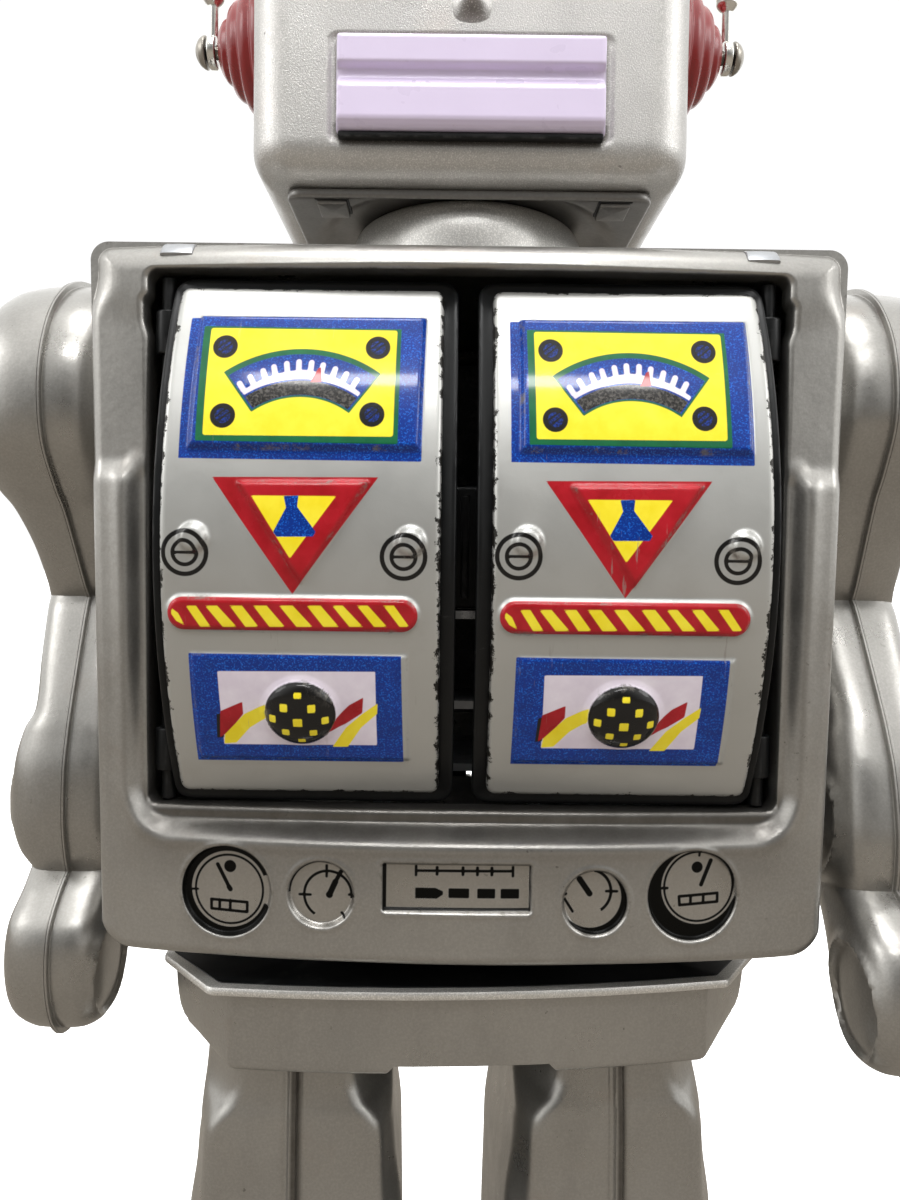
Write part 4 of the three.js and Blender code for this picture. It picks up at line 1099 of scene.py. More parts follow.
def chest_panel():
    """Front sheet, skinned from its outer edge to the door opening and turned in there."""
    corner_steps, pieces = 14, (150, 150, 520)
    outer = rounded_outline(CHEST_HALF, CHEST_LOW, PANEL_TOP, 2.6, 4.5, corner_steps, pieces)
    inner = rounded_outline(43.8, 129.6, 203.2, 1.4, 1.4, corner_steps, pieces)
    # a small notch high in each side of the opening
    notch = ease(200.2, 199.0, inner[:, 1]) * ease(193.8, 196.6, inner[:, 1])
    inner[:, 0] += np.sign(inner[:, 0]) * 0.6 * notch * (np.abs(inner[:, 0]) > 43.7)

    count = len(outer)
    back_y = -28.72
    x, z = outer.T
    rings = [xyz(x * 0.985, back_y, CHEST_LOW + (z - CHEST_LOW) * 0.985 + 0.7),
             xyz(x, back_y, z)]
    rims = [np.zeros(2 * count)]
    top = ease(196, 203.5, z)            # the top edge is rolled more softly than the sides
    middle_z, half_z = (CHEST_LOW + PANEL_TOP) / 2, (PANEL_TOP - CHEST_LOW) / 2
    for t in np.concatenate([np.linspace(0, 0.22, 40), np.linspace(0.22, 1, 125)[1:]]):
        points = outer * (1 - t) + inner * t
        x, z = points.T
        from_edge = -box(points, (0, middle_z), (CHEST_HALF, half_z), 3.0)
        from_edge = np.clip(np.minimum(from_edge, np.hypot(*(points - outer).T)), 0, None)
        from_opening = np.hypot(*(points - inner).T)
        roll = edge_roll(from_edge, 1.7 + 3.1 * top) * np.where(top > 0.5, 1.0, 0.95)
        y = chest_y(x, z) - 0.45 * top + roll + edge_roll(from_opening, 0.9)
        y = np.minimum(y, -28.75)
        rings.append(xyz(x, y, z))
        rims.append(np.clip(np.maximum(1 - from_edge / 0.9, 1 - from_opening / 0.7), 0, 1))
    # the wall of the opening: depth behind its edge, scale about its middle
    wall = ((0.5, 1.0), (2.6, 1.0), (2.9, 1.003), (2.8, 1.009), (0.9, 1.01))
    opening_z = 166.25
    for depth, scale in wall:
        rings.append(xyz(inner[:, 0] * scale, y + depth,
                         opening_z + (inner[:, 1] - opening_z) * scale))
    rims.append(np.zeros(len(wall) * count))

    shape = loft(rings, start_cap=False, end_cap=False)
    points = shape[0][:, [0, 2]]
    x, z = np.abs(points[:, 0]), points[:, 1]
    ink, dial = chest_ink(points), dials(points)
    ink[: 2 * count] = 1.0
    ink[-len(wall) * count :] = 1.0
    # painted shadow: the sill under the doors is darkened where the bowed doors shade it, and a
    # weaker band of painted shade runs below it
    shade = 0.72 * ease(124.6, 127.6, z) * ease(134, 131, z) * ease(46, 42.5, x)
    shade += 0.22 * ease(116, 124, z) * ease(127.6, 124.6, z) * ease(52, 40, x)
    attributes = {"ink": ink, "dial": dial, "rim": np.concatenate(rims),
                  "rub": np.exp(-((dial - 0.1) / 0.5) ** 2), "shade": shade}
    make("chest_panel", tapered(shape), CHEST, "torso", "chest_front", sharp=50,
         attributes=attributes)


def top_tab(side, left_x, slot_sign):
    """Folded bare tab on the rolled top edge, beside a short dark slit."""
    width = 4.5
    drops = np.array([2.35, 2.1, 1.7, 1.3, 0.9, 0.55, 0.25, 0.05])
    heights = PANEL_TOP - drops
    surface = chest_y(np.full(len(drops), left_x + width / 2), heights) - 0.45
    arc = np.column_stack([surface + edge_roll(drops, 4.8) - 0.24, heights + 0.16])
    profile = np.vstack([arc, [(-26.8, PANEL_TOP + 0.2), (-25.0, PANEL_TOP - 0.4)]])
    # place across the tab, fall of its surface there
    stations = [(0, 0.2), (0.12, 0.06), (0.35, 0), (width / 2, -0.05), (width - 0.35, 0),
                (width - 0.12, 0.06), (width, 0.2)]
    top = np.concatenate([xyz(left_x + x, profile[:, 0] + fall * 0.7, profile[:, 1] - fall * 0.7)
                          for x, fall in stations])
    bottom = np.concatenate([xyz(left_x + x, profile[:, 0] + 0.25, profile[:, 1] - 0.3)
                             for x, _ in stations])
    make("top_tab_" + side, two_sided(top, bottom, len(stations), len(profile)), STEEL,
         "torso", sharp=50)
    slot_rows = 7
    slot_x = left_x + width + 0.05 if slot_sign > 0 else left_x - 0.05
    near = xyz(slot_x + slot_sign * 1.1 * np.arange(slot_rows) / 6,
               arc[:slot_rows, 0] + 0.12, arc[:slot_rows, 1] - 0.12)
    front = np.vstack([near, near + (slot_sign * 0.75, 0, 0)])
    make("top_slot_" + side, two_sided(front, front + (0, 0.3, -0.3), 2, slot_rows), BLACK,
         "torso", sharp=50)


chest_panel()
top_tab("left", -42.2, 1)
top_tab("right", 37.9, -1)


# ============================================================== chest casing
SWITCH_HOLE = plain_box(-6, 6, 20, 45, 119.9, 124.7)


def casing():
    """Shell open at the front and rounded at the back, with its holes."""
    # distance in from the side, y
    outer = [(0.0, -28.65), (0.25, -28.2), (0.25, -27.2), (0, -26.8)]
    outer += [(7.5 * (1 - cosine), 22.2 + 7.6 * sine) for sine, cosine in quarter(12)]
    outer.append((9.5, 30.0))
    inner = [(inset + 0.7, y - 0.7 if y > 0 else y) for inset, y in outer]

    def section(inset, y, top_radius, low_radius):
        outline = rounded_outline(CHEST_HALF - inset, CHEST_LOW + inset, CHEST_HIGH - inset,
                                  top_radius, low_radius, 10, (16, 16, 16))
        return xyz(outline[:, 0], y, outline[:, 1])

    rings = [section(inset, y, 2.2 + inset * 0.55, 4.5 + inset * 0.3)
             for inset, y in outer[::-1]]
    rings += [section(inset, y, 1.6 + inset * 0.5, 3.9 + inset * 0.3) for inset, y in inner]
    ob = make("casing", tapered(loft(rings)), SILVER, "torso", "chest_casing")
    holes = [plain_box(-30, 30, 20, 45, 135.2, 200.0), SWITCH_HOLE]
    holes += [plug(3.2, 44.0 * sign, 56.0 * sign, "x", (0, 0, SHOULDER_Z)) for _, sign in SIDES]
    cut_away(ob, holes + [plug(6.3, 106.0, 113.0)])


def casing_relief(side, sign):
    """Pressed ring round the shoulder and two pressed ribs on the side."""
    profile = [(9.6, 51.9), (10.4, 52.3), (11.0, 52.62), (11.8, 52.62), (12.4, 52.3), (13.2, 51.9)]
    verts, faces = lathe(mirrored(profile, sign), 64, "x", (0, 0, SHOULDER_Z), loop=True)
    verts[:, 0] += sign * (verts[:, 2] - SHOULDER_Z) * TAPER
    make("shoulder_ring_" + side, (verts, faces), SILVER, "torso")
    for k, z in enumerate((122.0, 150.0)):
        verts, faces = rounded_box(-1, 1, -19, 17, z - 1.1, z + 1.1, 1.0, 4)
        verts[:, 0] = sign * (51.3 + (verts[:, 2] - TAPER_Z) * TAPER
                              + np.clip(verts[:, 0], -0.4, None) * 0.8)
        make(f"side_rib_{side}_{k}", (verts, faces), SILVER, "torso")


def rear_door():
    """Bowed battery door with a pressed frame and four ribs, hinged at its foot."""
    half_x, half_z, middle_z = 31.5, 33.5, 168.1
    rows, columns = 85, 91
    a, b, inset = plate_grid(np.linspace(-half_x, half_x, rows),
                             np.linspace(-half_z, half_z, columns), half_x, half_z, 2.0)
    z = b + middle_z
    height = np.clip((b + half_z) / (2 * half_z), 0, 1)
    y = 31.5 + 0.9 * (1 - (a / half_x) ** 2) * np.sin(np.pi * height)
    pressed_frame = box(np.column_stack([a, b]), (0, -1.0), (25.0, 26.0), 3.0)
    y = y + 0.55 * np.exp(-(pressed_frame / 0.8) ** 2)
    for rib_z in (150.0, 160.0, 170.0, 180.0):
        y = y + 0.5 * ease(1.2, 0.3, np.abs(z - rib_z)) * ease(19.5, 18.0, np.abs(a))
    plate = two_sided(xyz(a, y - edge_roll(inset, 0.7), z), xyz(a, 30.35, z), rows, columns)
    hinge = lathe(fillet([(0, -12), (1.15, -12), (1.15, 12), (0, 12)], 0.3, 3), 20, "x",
                  (0, 31.6, 133.6))
    strap = rounded_box(-12, 12, 30.5, 31.5, 133.6, 135.4, 0.2)
    make("rear_door", merge(plate, hinge, strap), SILVER, "battery_cover", "battery_door",
         sharp=50)
    ridges = [rounded_box(x - 0.3, x + 0.3, 34.1, 34.7, 197.6, 200.0, 0.2)
              for x in (-4, -2, 0, 2, 4)]
    latch = merge(rounded_box(-6, 6, 32.0, 34.3, 197.0, 200.6, 0.7), *ridges)
    make("rear_latch", latch, NICKEL, "battery_cover", "battery_latch")


def switch():
    """Plate, two rivets and ridged lever of the rear switch."""
    plate = rounded_box(-11, 11, 30.2, 31.2, 117.4, 127.2, 0.4)
    ob = make("switch_face", plate, NICKEL, "torso", "switch_plate")
    cut_away(ob, [plain_box(-6, 6, 25, 40, 119.9, 124.7)])
    rivet = [(0, 31.1), (1.1, 31.1), (1.05, 31.6), (0.6, 31.9), (0, 32.0)]
    for k, x in enumerate((-9.0, 9.0)):
        make(f"switch_rivet_{k}", lathe(rivet, 20, "y", (x, 0, 122.3)), NICKEL, "torso")
    ridges = [rounded_box(x - 0.25, x + 0.25, 35.8, 36.3, 120.8, 123.8, 0.15)
              for x in (-1.5, -0.5, 0.5, 1.5)]
    knob = merge(rounded_box(-1.6, 1.6, 26, 33.2, 120.6, 124.0, 0.3),
                 rounded_box(-2.6, 2.6, 31.5, 36, 120.3, 124.3, 0.6), *ridges)
    make("switch_knob", knob, BLACK, "switch", "switch_lever")


def guns():
    """Block behind the doors and its two muzzles."""
    parts = [rounded_box(-30, 30, -24, -12, 157, 175, 0.8),
             rounded_box(-30, -10, -25.5, -23, 154, 178, 0.7),
             rounded_box(10, 30, -25.5, -23, 154, 178, 0.7)]
    parts += [rounded_box(x - 0.6, x + 0.6, -25.0, -23.5, 158.5, 173.5, 0.3)
              for x in (-6.5, -3.2, 0, 3.2, 6.5)]
    make("gun_body", merge(*parts), BLACK, "guns", "gun_block")
    muzzle = fillet([(0, -25.8), (5.2, -25.8), (5.2, -28), (4.0, -28.4), (4.0, -29.4),
                     (4.5, -29.6), (4.5, -30.3), (4.0, -30.5), (4.0, -32.4), (4.6, -32.8),
                     (4.6, -34.5), (3.0, -34.5), (2.8, -29), (0, -29)], 0.25, 3)
    for side, sign in SIDES:
        make("muzzle_" + side, lathe(muzzle, 40, "y", (20 * sign, 0, 166)), NICKEL, "guns",
             "gun_barrel_" + side)


casing()
for side, sign in SIDES:
    casing_relief(side, sign)
rear_door()
switch()
guns()

# ====================================================================== arms
# Rows: height, half depth, middle y, outer bulge, inner bulge. The shells are
# creased at the elbow and at the wrist, so each part has its own smooth curve.
UPPER_ARM = [
    [208.75, 0.3, -1, 0.5, 0.5], [208.3, 3.4, -1, 3.6, 3.0], [207.4, 6.8, -1, 7.4, 5.7],
    [205, 11.6, -1, 10.5, 7.6], [200.5, 16.4, -1, 13, 9.2], [194, 19.7, -1, 14, 9.7],
    [187.5, 20.6, -1, 14, 9.7], [181, 19.4, -1, 14, 9.7], [175, 15.3, -0.8, 12.5, 9.4],
    [171.6, 12.7, -0.2, 10.6, 8.8], [166, 10.2, 1.2, 8.8, 8], [160, 7.8, 2.8, 8.0, 7.2],
    [157.3, 6.3, 3.5, 8.1, 6.8]]
FOREARM = [
    [157.3, 6.3, 3.5, 8.1, 6.8], [155, 6.9, 2.7, 8.1, 6.8], [147, 8.4, 0.8, 7.9, 6.8],
    [139, 10.2, -0.6, 7.7, 7], [135.5, 11.4, -0.6, 9.4, 7.8], [130, 12.4, -1, 10.6, 8.2],
    [122, 12.6, -1.2, 11, 8.3], [116.5, 11.3, -1.6, 10, 7.8], [113.2, 9.2, -2.6, 7.8, 6.8]]
HAND = [
    [113.2, 9.2, -2.6, 7.8, 6.8], [110.5, 9.4, -6, 7.6, 6.9], [106, 9.9, -9.3, 8.4, 7.2],
    [99, 9.2, -10.8, 8.6, 7.2], [93, 7.3, -11.1, 7.9, 6.6], [89.6, 4.6, -11, 5.6, 5],
    [88.7, 2.4, -11, 3.2, 2.8], [88.45, 0.3, -11, 0.6, 0.6]]
SEAM_X = 63.0                            # plane where the two halves of an arm meet
# The flange along the seam: distance from the seam plane, reach beyond the shell's edge.
FLANGE_X = np.array([0.0, 0.28, 0.34, 0.34])
FLANGE_REACH = np.array([0.9, 0.9, 0.82, 0.12])
FLANGE = 0.34


def arm_section():
    """Evenly spaced points round the rounded half section: bulge part and depth part."""
    angles = np.linspace(0, math.pi, 2000)
    out, depth = np.abs(np.sin(angles)) ** 0.6, np.cos(angles)
    depth = np.sign(depth) * np.abs(depth) ** 0.6
    lengths = np.concatenate([[0], np.cumsum(np.hypot(np.diff(out * 0.8), np.diff(depth)))])
    angles = np.interp(np.linspace(0, lengths[-1], 58), lengths, angles)
    out = np.clip(np.sin(angles), 0, 1) ** 0.6
    depth = np.sign(np.cos(angles)) * np.abs(np.cos(angles)) ** 0.6
    out[0], out[-1], depth[0], depth[-1] = 0, 0, 1, -1
    return out, depth


def arm_half(name, side, sign, bulge_column, outward, swing, replaces):
    """Half shell; outward is 1 for the half away from the chest and -1 for the other."""
    rows = np.concatenate([spline(UPPER_ARM, 100)[:-1], spline(FOREARM, 72)[:-1],
                           spline(HAND, 64)])
    height = rows[:, 0]
    half_depth, middle = np.clip(rows[:, 1], 0.05, None), rows[:, 2]
    bulge = np.clip(rows[:, bulge_column], 0.3, None)

    def flange(edge_y, direction, reach):
        step_y, step_z = np.gradient(edge_y), np.gradient(height)
        length = np.hypot(step_y, step_z) + 1e-9
        return (edge_y[:, None] + (direction * step_z / length)[:, None] * reach,
                height[:, None] - (direction * step_y / length)[:, None] * reach)

    front_y, front_z = flange(middle - half_depth, 1, FLANGE_REACH)
    back_y, back_z = flange(middle + half_depth, -1, FLANGE_REACH[::-1])
    out, depth = arm_section()
    count = len(height)
    x = np.hstack([np.tile(FLANGE_X, (count, 1)),
                   FLANGE + 0.1 + (bulge[:, None] - FLANGE) * out,
                   np.tile(FLANGE_X[::-1], (count, 1))])
    y = np.hstack([front_y, middle[:, None] - half_depth[:, None] * depth, back_y])
    z = np.hstack([front_z, np.tile(height[:, None], (1, len(out))), back_z])

    # pressed relief on the flat faces
    inside = ease(1.5, 4.0, x)
    forearm = np.hypot(y + 1.6, z - 123.2)
    hand = np.hypot((y + 11.4) / 6.7, (z - 98.2) / 8.3)
    shoulder = np.hypot(y + 1.0, z - 188.5)
    if outward < 0:
        relief = (0.55 * np.exp(-((forearm - 9.3) / 0.55) ** 2) - 0.25 * ease(8.9, 8.3, forearm)
                  + 0.45 * np.exp(-((hand - 1.0) / 0.09) ** 2) - 0.6 * ease(0.98, 0.86, hand)
                  - 0.5 * ease(12.8, 12.0, shoulder))
    else:
        relief = (0.4 * np.exp(-((shoulder - 13.0) / 0.8) ** 2)
                  + 0.35 * np.exp(-((forearm - 7.6) / 0.7) ** 2) - 0.4 * ease(0.9, 0.75, hand))
    x = sign * (SEAM_X + outward * (0.04 + x + inside * relief))
    angle = math.radians(swing)
    rise = z - SHOULDER_Z
    verts = xyz(x.ravel(), (y * math.cos(angle) - rise * math.sin(angle)).ravel(),
                (y * math.sin(angle) + rise * math.cos(angle) + SHOULDER_Z).ravel())

    # the seam plane closes the shell
    columns = x.shape[1]
    faces = grid_faces(count, columns)
    for k in range(count - 1):
        low, after = k * columns, (k + 1) * columns
        faces.append([low, low + columns - 1, after + columns - 1, after])
    faces.append(list(range(columns)))
    faces.append([(count - 1) * columns + j for j in range(columns - 1, -1, -1)])
    make(name, (verts, faces), SILVER, side + "_arm", replaces, sharp=33)


def arm(side, sign, swing):
    arm_half("arm_shell_out_" + side, side, sign, 3, 1, swing, "arm_outer_" + side)
    arm_half("arm_shell_in_" + side, side, sign, 4, -1, swing, "arm_inner_" + side)
    at = (0, 0, SHOULDER_Z)
    axle = fillet([(0, 44.5), (5, 44.5), (5, 46), (3.0, 46), (3.0, 60.5), (0, 60.5)], 0.3, 3)
    make("arm_axle_" + side, lathe(mirrored(axle, sign), 40, "x", at), STEEL, side + "_arm",
         "shoulder_axle_" + side)
    washer = [(3.1, 53.15), (5.6, 53.15), (5.6, 52.75), (3.1, 52.75)]
    make("arm_washer_" + side, lathe(mirrored(washer, sign), 40, "x", at, loop=True), NICKEL,
         side + "_arm")


arm("left", -1, swing=0.0)
arm("right", 1, swing=-11.0)


# ============================================================= neck and head
def neck():
    radius = 19.2
    profile = [(radius, 207.0), (radius, 213.8), (radius - 0.3, 216.3), (radius - 1.1, 217.8),
               (radius - 2.3, 218.5), (13, 218.5), (13, 217.2), (radius - 2.8, 217.2),
               (radius - 2, 216.6), (radius - 1.3, 215.2), (radius - 1.2, 212),
               (radius - 1.2, 207.0)]
    make("neck_dome", lathe(fillet(profile, 1.0, 6, closed=True), 128, "z", loop=True), BRIGHT,
         "torso", "neck_collar", sharp=60)


MOUTH_HALF, MOUTH_LOW, MOUTH_HIGH = 19.1, 224.1, 237.4
MOUTH_Z, MOUTH_HALF_Z = (MOUTH_LOW + MOUTH_HIGH) / 2, (MOUTH_HIGH - MOUTH_LOW) / 2


def head_shell():
    half_x, half_y, low, high = 32.0, 25.0, 218.5, 280.0
    # distance in from the sides, height
    profile = [(4.8 * (1 - sine), low + 5.2 * (1 - cosine)) for sine, cosine in quarter(14)]
    profile += [(0.0, z) for z in np.linspace(low + 5.7, high - 5.9, 260)]
    profile += [(5.4 * (1 - sine), high - 5.4 * (1 - cosine))
                for sine, cosine in quarter(12)[::-1]]
    rings = [level_ring(half_x - inset, half_y - inset, max(6.2 - inset * 0.35, 1.0), z,
                        corner_steps=14, pieces=170) for inset, z in profile]

    def shrunk(source, scale, z):
        centre = source.mean(0)
        out = centre + (source - centre) * scale
        out[:, 2] = z
        return out

    top = rings[-1]
    rings += [shrunk(top, scale, high + 0.8 * (1 - scale * scale))
              for scale in (0.9, 0.7, 0.45, 0.2)]
    # the sheet turns in under the bottom edge: scale, rise
    hem = [shrunk(rings[0], scale, low + rise)
           for scale, rise in ((0.86, 0.9), (0.88, 0.15), (0.94, 0.0), (0.985, 0.0))]
    verts, faces = loft(hem + rings, start_cap=False)

    # pressed seat round the mouth, and sockets for the eyes
    points = verts[:, [0, 2]]
    x, z = points.T
    y = verts[:, 1].copy()
    front = y < -half_y + 0.5
    seat = box(points, (0, MOUTH_Z), (20.0, 7.5), 1.2)
    y = y + np.where(front & (np.abs(z - MOUTH_Z) < 14), 0.3 * ease(0.5, -0.3, seat), 0)
    for _, sign in SIDES:
        reach = np.hypot(x - EYE_X * sign, z - EYE_Z)
        socket = 0.35 * ease(11.2, 10.4, reach) - 0.25 * np.exp(-((reach - 11.6) / 0.7) ** 2)
        y = y + np.where(front, socket, 0)
    # folded seam down the middle of the back
    y = np.where(y > half_y - 0.5, y + 0.45 * ease(2.4, 1.6, np.abs(x)), y)
    verts[:, 1] = y

    # painted shade: a dark line round the mouth bar and a painted shadow on the face under it
    mouth = box(points, (0, MOUTH_Z), (MOUTH_HALF, MOUTH_HALF_Z), 0.8)
    under = ease(222.2, 223.6, z) * ease(20.2, 18.6, np.abs(x)) * (z < 226)
    shade = np.clip(0.62 * ease(0.7, 0.0, mouth) + 0.85 * under, 0, 0.95)
    shade = np.where(y < -half_y + 1.0, shade, 0)
    # painted shade darkens the front vertical corners of the head
    shade = np.maximum(shade, 0.42 * ease(29.6, 31.9, np.abs(x)) * ease(-14, -20, y))
    make("head_tin", (verts, faces), HEAD, "torso", "head_shell", sharp=60,
         attributes={"shade": shade})


def head_floor():
    """Plate that swells down round the neck, and two tabs with dark slits."""
    edge_steps, half_x, half_y = (0, 0.1, 0.3, 0.6, 1.0), 27.0, 20.4
    across, along = graded(half_x, edge_steps, 1.5, 150), graded(half_y, edge_steps, 1.5, 110)
    x, y, inset = plate_grid(across, along, half_x, half_y, 2.2)
    y = y - 0.6
    roll = edge_roll(inset, 0.5)
    swell = -1.7 * ease(25.6, 21.2, np.hypot(x, y)) * ease(0.2, 1.8, inset)
    shape = two_sided(xyz(x, y, 217.0 + roll * 0.8 - swell),
                      xyz(x, y, 218.35 - roll * 0.4 - swell), len(across), len(along))
    # the plate and its tabs take the darkened plate paint as painted shade
    make("head_floor", shape, SHADED_PLATE, "torso", "head_base", sharp=50)
    # tab x, and the x range of its side slit from there
    for k, (x, slit) in enumerate(((-20.3, (2.2, 2.55)), (21.6, (-2.55, -2.2)))):
        make(f"head_tab_{k}", rounded_box(x - 2.2, x + 2.2, -20.1, -14.6, 216.4, 217.3, 0.2),
             SHADED_PLATE, "torso")
        slits = merge(rounded_box(x - 2.5, x + 2.5, -20.5, -20.1, 216.9, 217.3, 0.05, 1),
                      rounded_box(x + slit[0], x + slit[1], -20.6, -15.0, 216.86, 217.3, 0.05, 1))
        make(f"head_tab_slot_{k}", slits, BLACK, "torso")


# Mouth bar: height z, how far it stands out. An upper band, a deep groove with a
# sloped lower bank, and a wider band below.
MOUTH_PROFILE = np.array([
    (224.1, 1.35), (224.5, 1.9), (225.3, 2.5), (225.7, 2.62), (229.7, 2.62), (230.1, 2.5),
    (231.35, 1.2), (231.65, 1.1), (232.85, 1.1), (233.05, 2.2), (233.35, 2.42), (236.9, 2.45),
    (237.4, 2.2)])


def mouth():
    across = graded(MOUTH_HALF, (0, 0.06, 0.18, 0.4, 0.7, 1.1), 1.6, 70)
    along = graded(MOUTH_HALF_Z, (0, 0.06, 0.18, 0.4, 0.7), 1.0, 110, high_margin=0.95)
    rows, columns = len(across), len(along)
    x, b, inset = plate_grid(across, along, MOUTH_HALF, MOUTH_HALF_Z, 0.8)
    z = b + MOUTH_Z
    lift = np.interp(z, *MOUTH_PROFILE.T).reshape(rows, columns)
    for _ in range(2):
        lift[:, 1:-1] = (lift[:, :-2] + 2 * lift[:, 1:-1] + lift[:, 2:]) / 4
    lift = lift.ravel() * ease(-0.02, 0.5, inset) ** 0.6
    make("mouth_bar", two_sided(xyz(x, -25.05 - lift, z), xyz(x, -24.85, z), rows, columns),
         PALE, "torso", "mouth", sharp=40)
    # painted shadow: a black strip under the mouth bar stands for the shadow beneath it
    make("mouth_shadow_strip", rounded_box(-18.7, 18.7, -26.3, -24.9, 223.4, 224.2, 0.2), BLACK, "torso")


# Nose lift: place from the lower end (0) to the upper (1), share of the full height.
NOSE_PROFILE = np.array([(0, 0), (0.05, 0.10), (0.12, 0.42), (0.2, 0.80), (0.26, 0.96),
                         (0.32, 1.0), (0.9, 0.36), (1.0, 0)])


def nose():
    """A soft lump standing out of the face, highest low down."""
    rows, columns = 61, 111
    grid_a, grid_t = np.meshgrid(np.linspace(-1, 1, rows), np.linspace(0, 1, columns),
                                 indexing="ij")
    a, t = grid_a.ravel(), grid_t.ravel()
    x, z = a * (3.3 - 0.7 * t), 239.6 + 13.6 * t
    round_off = (0.5 + 0.5 * np.cos(np.pi * np.abs(a))) ** 0.9
    lift = 2.1 * np.interp(t, *NOSE_PROFILE.T) * round_off
    across = np.clip(np.cos(np.pi / 2 * np.abs(a)), 0, None)
    # painted shade on the down-facing lower slope of the nose
    shade = 0.85 * np.exp(-(((t - 0.13) / 0.10) ** 2)) * across ** 1.2
    make("nose_ridge", two_sided(xyz(x, -24.92 - lift, z), xyz(x, -24.7, z), rows, columns),
         HEAD, "torso", "nose", sharp=70, attributes={"shade": np.concatenate([shade, shade])})


def eye(side, sign):
    at = (EYE_X * sign, 0, EYE_Z)
    bezel = fillet([(6.5, EYE_FRONT), (9.4, EYE_FRONT), (9.4, -26.2), (8.3, -27.4), (6.9, -27.1),
                    (6.5, -26.2)], 0.5, 4, closed=True)
    make("bezel_" + side, lathe(bezel, 64, "y", at, loop=True), NICKEL, "torso",
         "eye_bezel_" + side, sharp=60)
    dome_profile = [(6.45, EYE_FRONT), (6.45, -26.6)]
    dome_profile += [(6.3 * math.cos(angle), -26.7 - 3.2 * math.sin(angle))
                     for angle in np.linspace(0.05, math.pi / 2, 20)]
    # every fourth ring stands out as a ridge
    dome_profile = [(radius, y - (0.16 if k % 4 == 2 else 0))
                    for k, (radius, y) in enumerate(dome_profile)]
    lens = [(0, EYE_FRONT)] + dome_profile[:-1] + [(0, dome_profile[-1][1])]
    make("lens_" + side, lathe(lens, 64, "y", at), LENS, "torso", "eye_lens_" + side, sharp=60)


EAR_BASE = 32.05                         # x where the ear meets the head
EAR_TIP = EAR_BASE + 9.9
# radius, distance out from the base
EAR_STEPS = [
    (0, 0), (11.4, 0), (11.4, 1.7), (10.9, 2.6), (10.1, 2.95), (9.95, 3.1), (9.7, 4.1),
    (8.9, 5.1), (7.9, 5.4), (7.75, 5.6), (7.4, 6.5), (6.5, 7.4), (5.3, 7.65), (5.15, 7.8),
    (4.7, 8.7), (3.3, 9.6), (1.6, 9.85), (0, 9.9)]
# radius, distance out from the tip of the ear
RIVET_STEPS = [(0, -0.2), (1.0, -0.2), (1.0, 2.2), (2.6, 2.2), (2.55, 2.6), (2.1, 3.3),
               (1.2, 3.9), (0, 4.2)]


def ear(side, sign):
    """Stepped cone, its rivet, and the aerial held by a ring on the rivet."""
    def turned_piece(steps, base, radius, count):
        profile = fillet([(r, base + out) for r, out in steps], radius, 4)
        return lathe(mirrored(profile, sign), count, "x", (0, 0, EAR_Z))

    make("ear_cone_" + side, turned_piece(EAR_STEPS, EAR_BASE, 0.4, 96), RED, "torso",
         "ear_" + side, sharp=60)
    make("rivet_" + side, turned_piece(RIVET_STEPS, EAR_TIP, 0.3, 40), RIVET, "torso",
         "ear_rivet_" + side, sharp=60)
    x = (EAR_TIP + 1.15) * sign
    collar = fillet([(1.12, -0.7), (2.6, -0.7), (2.6, 0.7), (1.12, 0.7)], 0.3, 3, closed=True)
    stem = fillet([(0, 251.2), (0.8, 251.2), (0.8, 256.6), (1.25, 257.0), (1.8, 257.6),
                   (1.8, 260.0), (1.3, 260.6), (0.9, 260.9), (0.85, 278), (0.7, 278.3),
                   (0.7, 295.6)], 0.25, 3)
    ball = [(2.1 * math.sin(angle), 297.9 - 2.2 * math.cos(angle))
            for angle in np.linspace(0.35, math.pi, 16)]
    stem += ball[:-1] + [(0, ball[-1][1])]
    shape = merge(lathe(collar, 36, "x", (x, 0, EAR_Z), loop=True),
                  lathe(stem, 28, "z", (x, 0, 0)))
    make("aerial_" + side, shape, NICKEL, side + "_antenna", "antenna_" + side, sharp=60)


neck()
head_shell()
head_floor()
mouth()
nose()
for side, sign in SIDES:
    eye(side, sign)
    ear(side, sign)

# ============================================================= hips and legs
WAIST_HOLE = 6.4


def hip_plan(size, inset, front_z, side_z):
    """Level outline with bowed front and back and cut corners.

    size: half width of the front, its y, its bow, half width at the sides and
    half length of the straight sides.
    """
    front, front_y, bow, side_x, side_y = size
    front, front_y, side_x = front - inset, front_y - inset, side_x - inset
    side_y = side_y - inset * 0.5
    edge = [(front * u, -(front_y + bow * (1 - u * u))) for u in np.linspace(-1, 1, 9)]
    points = edge + [(side_x, -side_y), (side_x, side_y)]
    points += [(x, -y) for x, y in edge[::-1]] + [(-side_x, side_y), (-side_x, -side_y)]
    outline = soft_ring(points, 0.7, ([6] * 8 + [10, 22, 10]) * 2)
    part = ease(front - 1.0, side_x, np.abs(outline[:, 0]))
    return xyz(outline[:, 0], outline[:, 1], front_z + (side_z - front_z) * part)


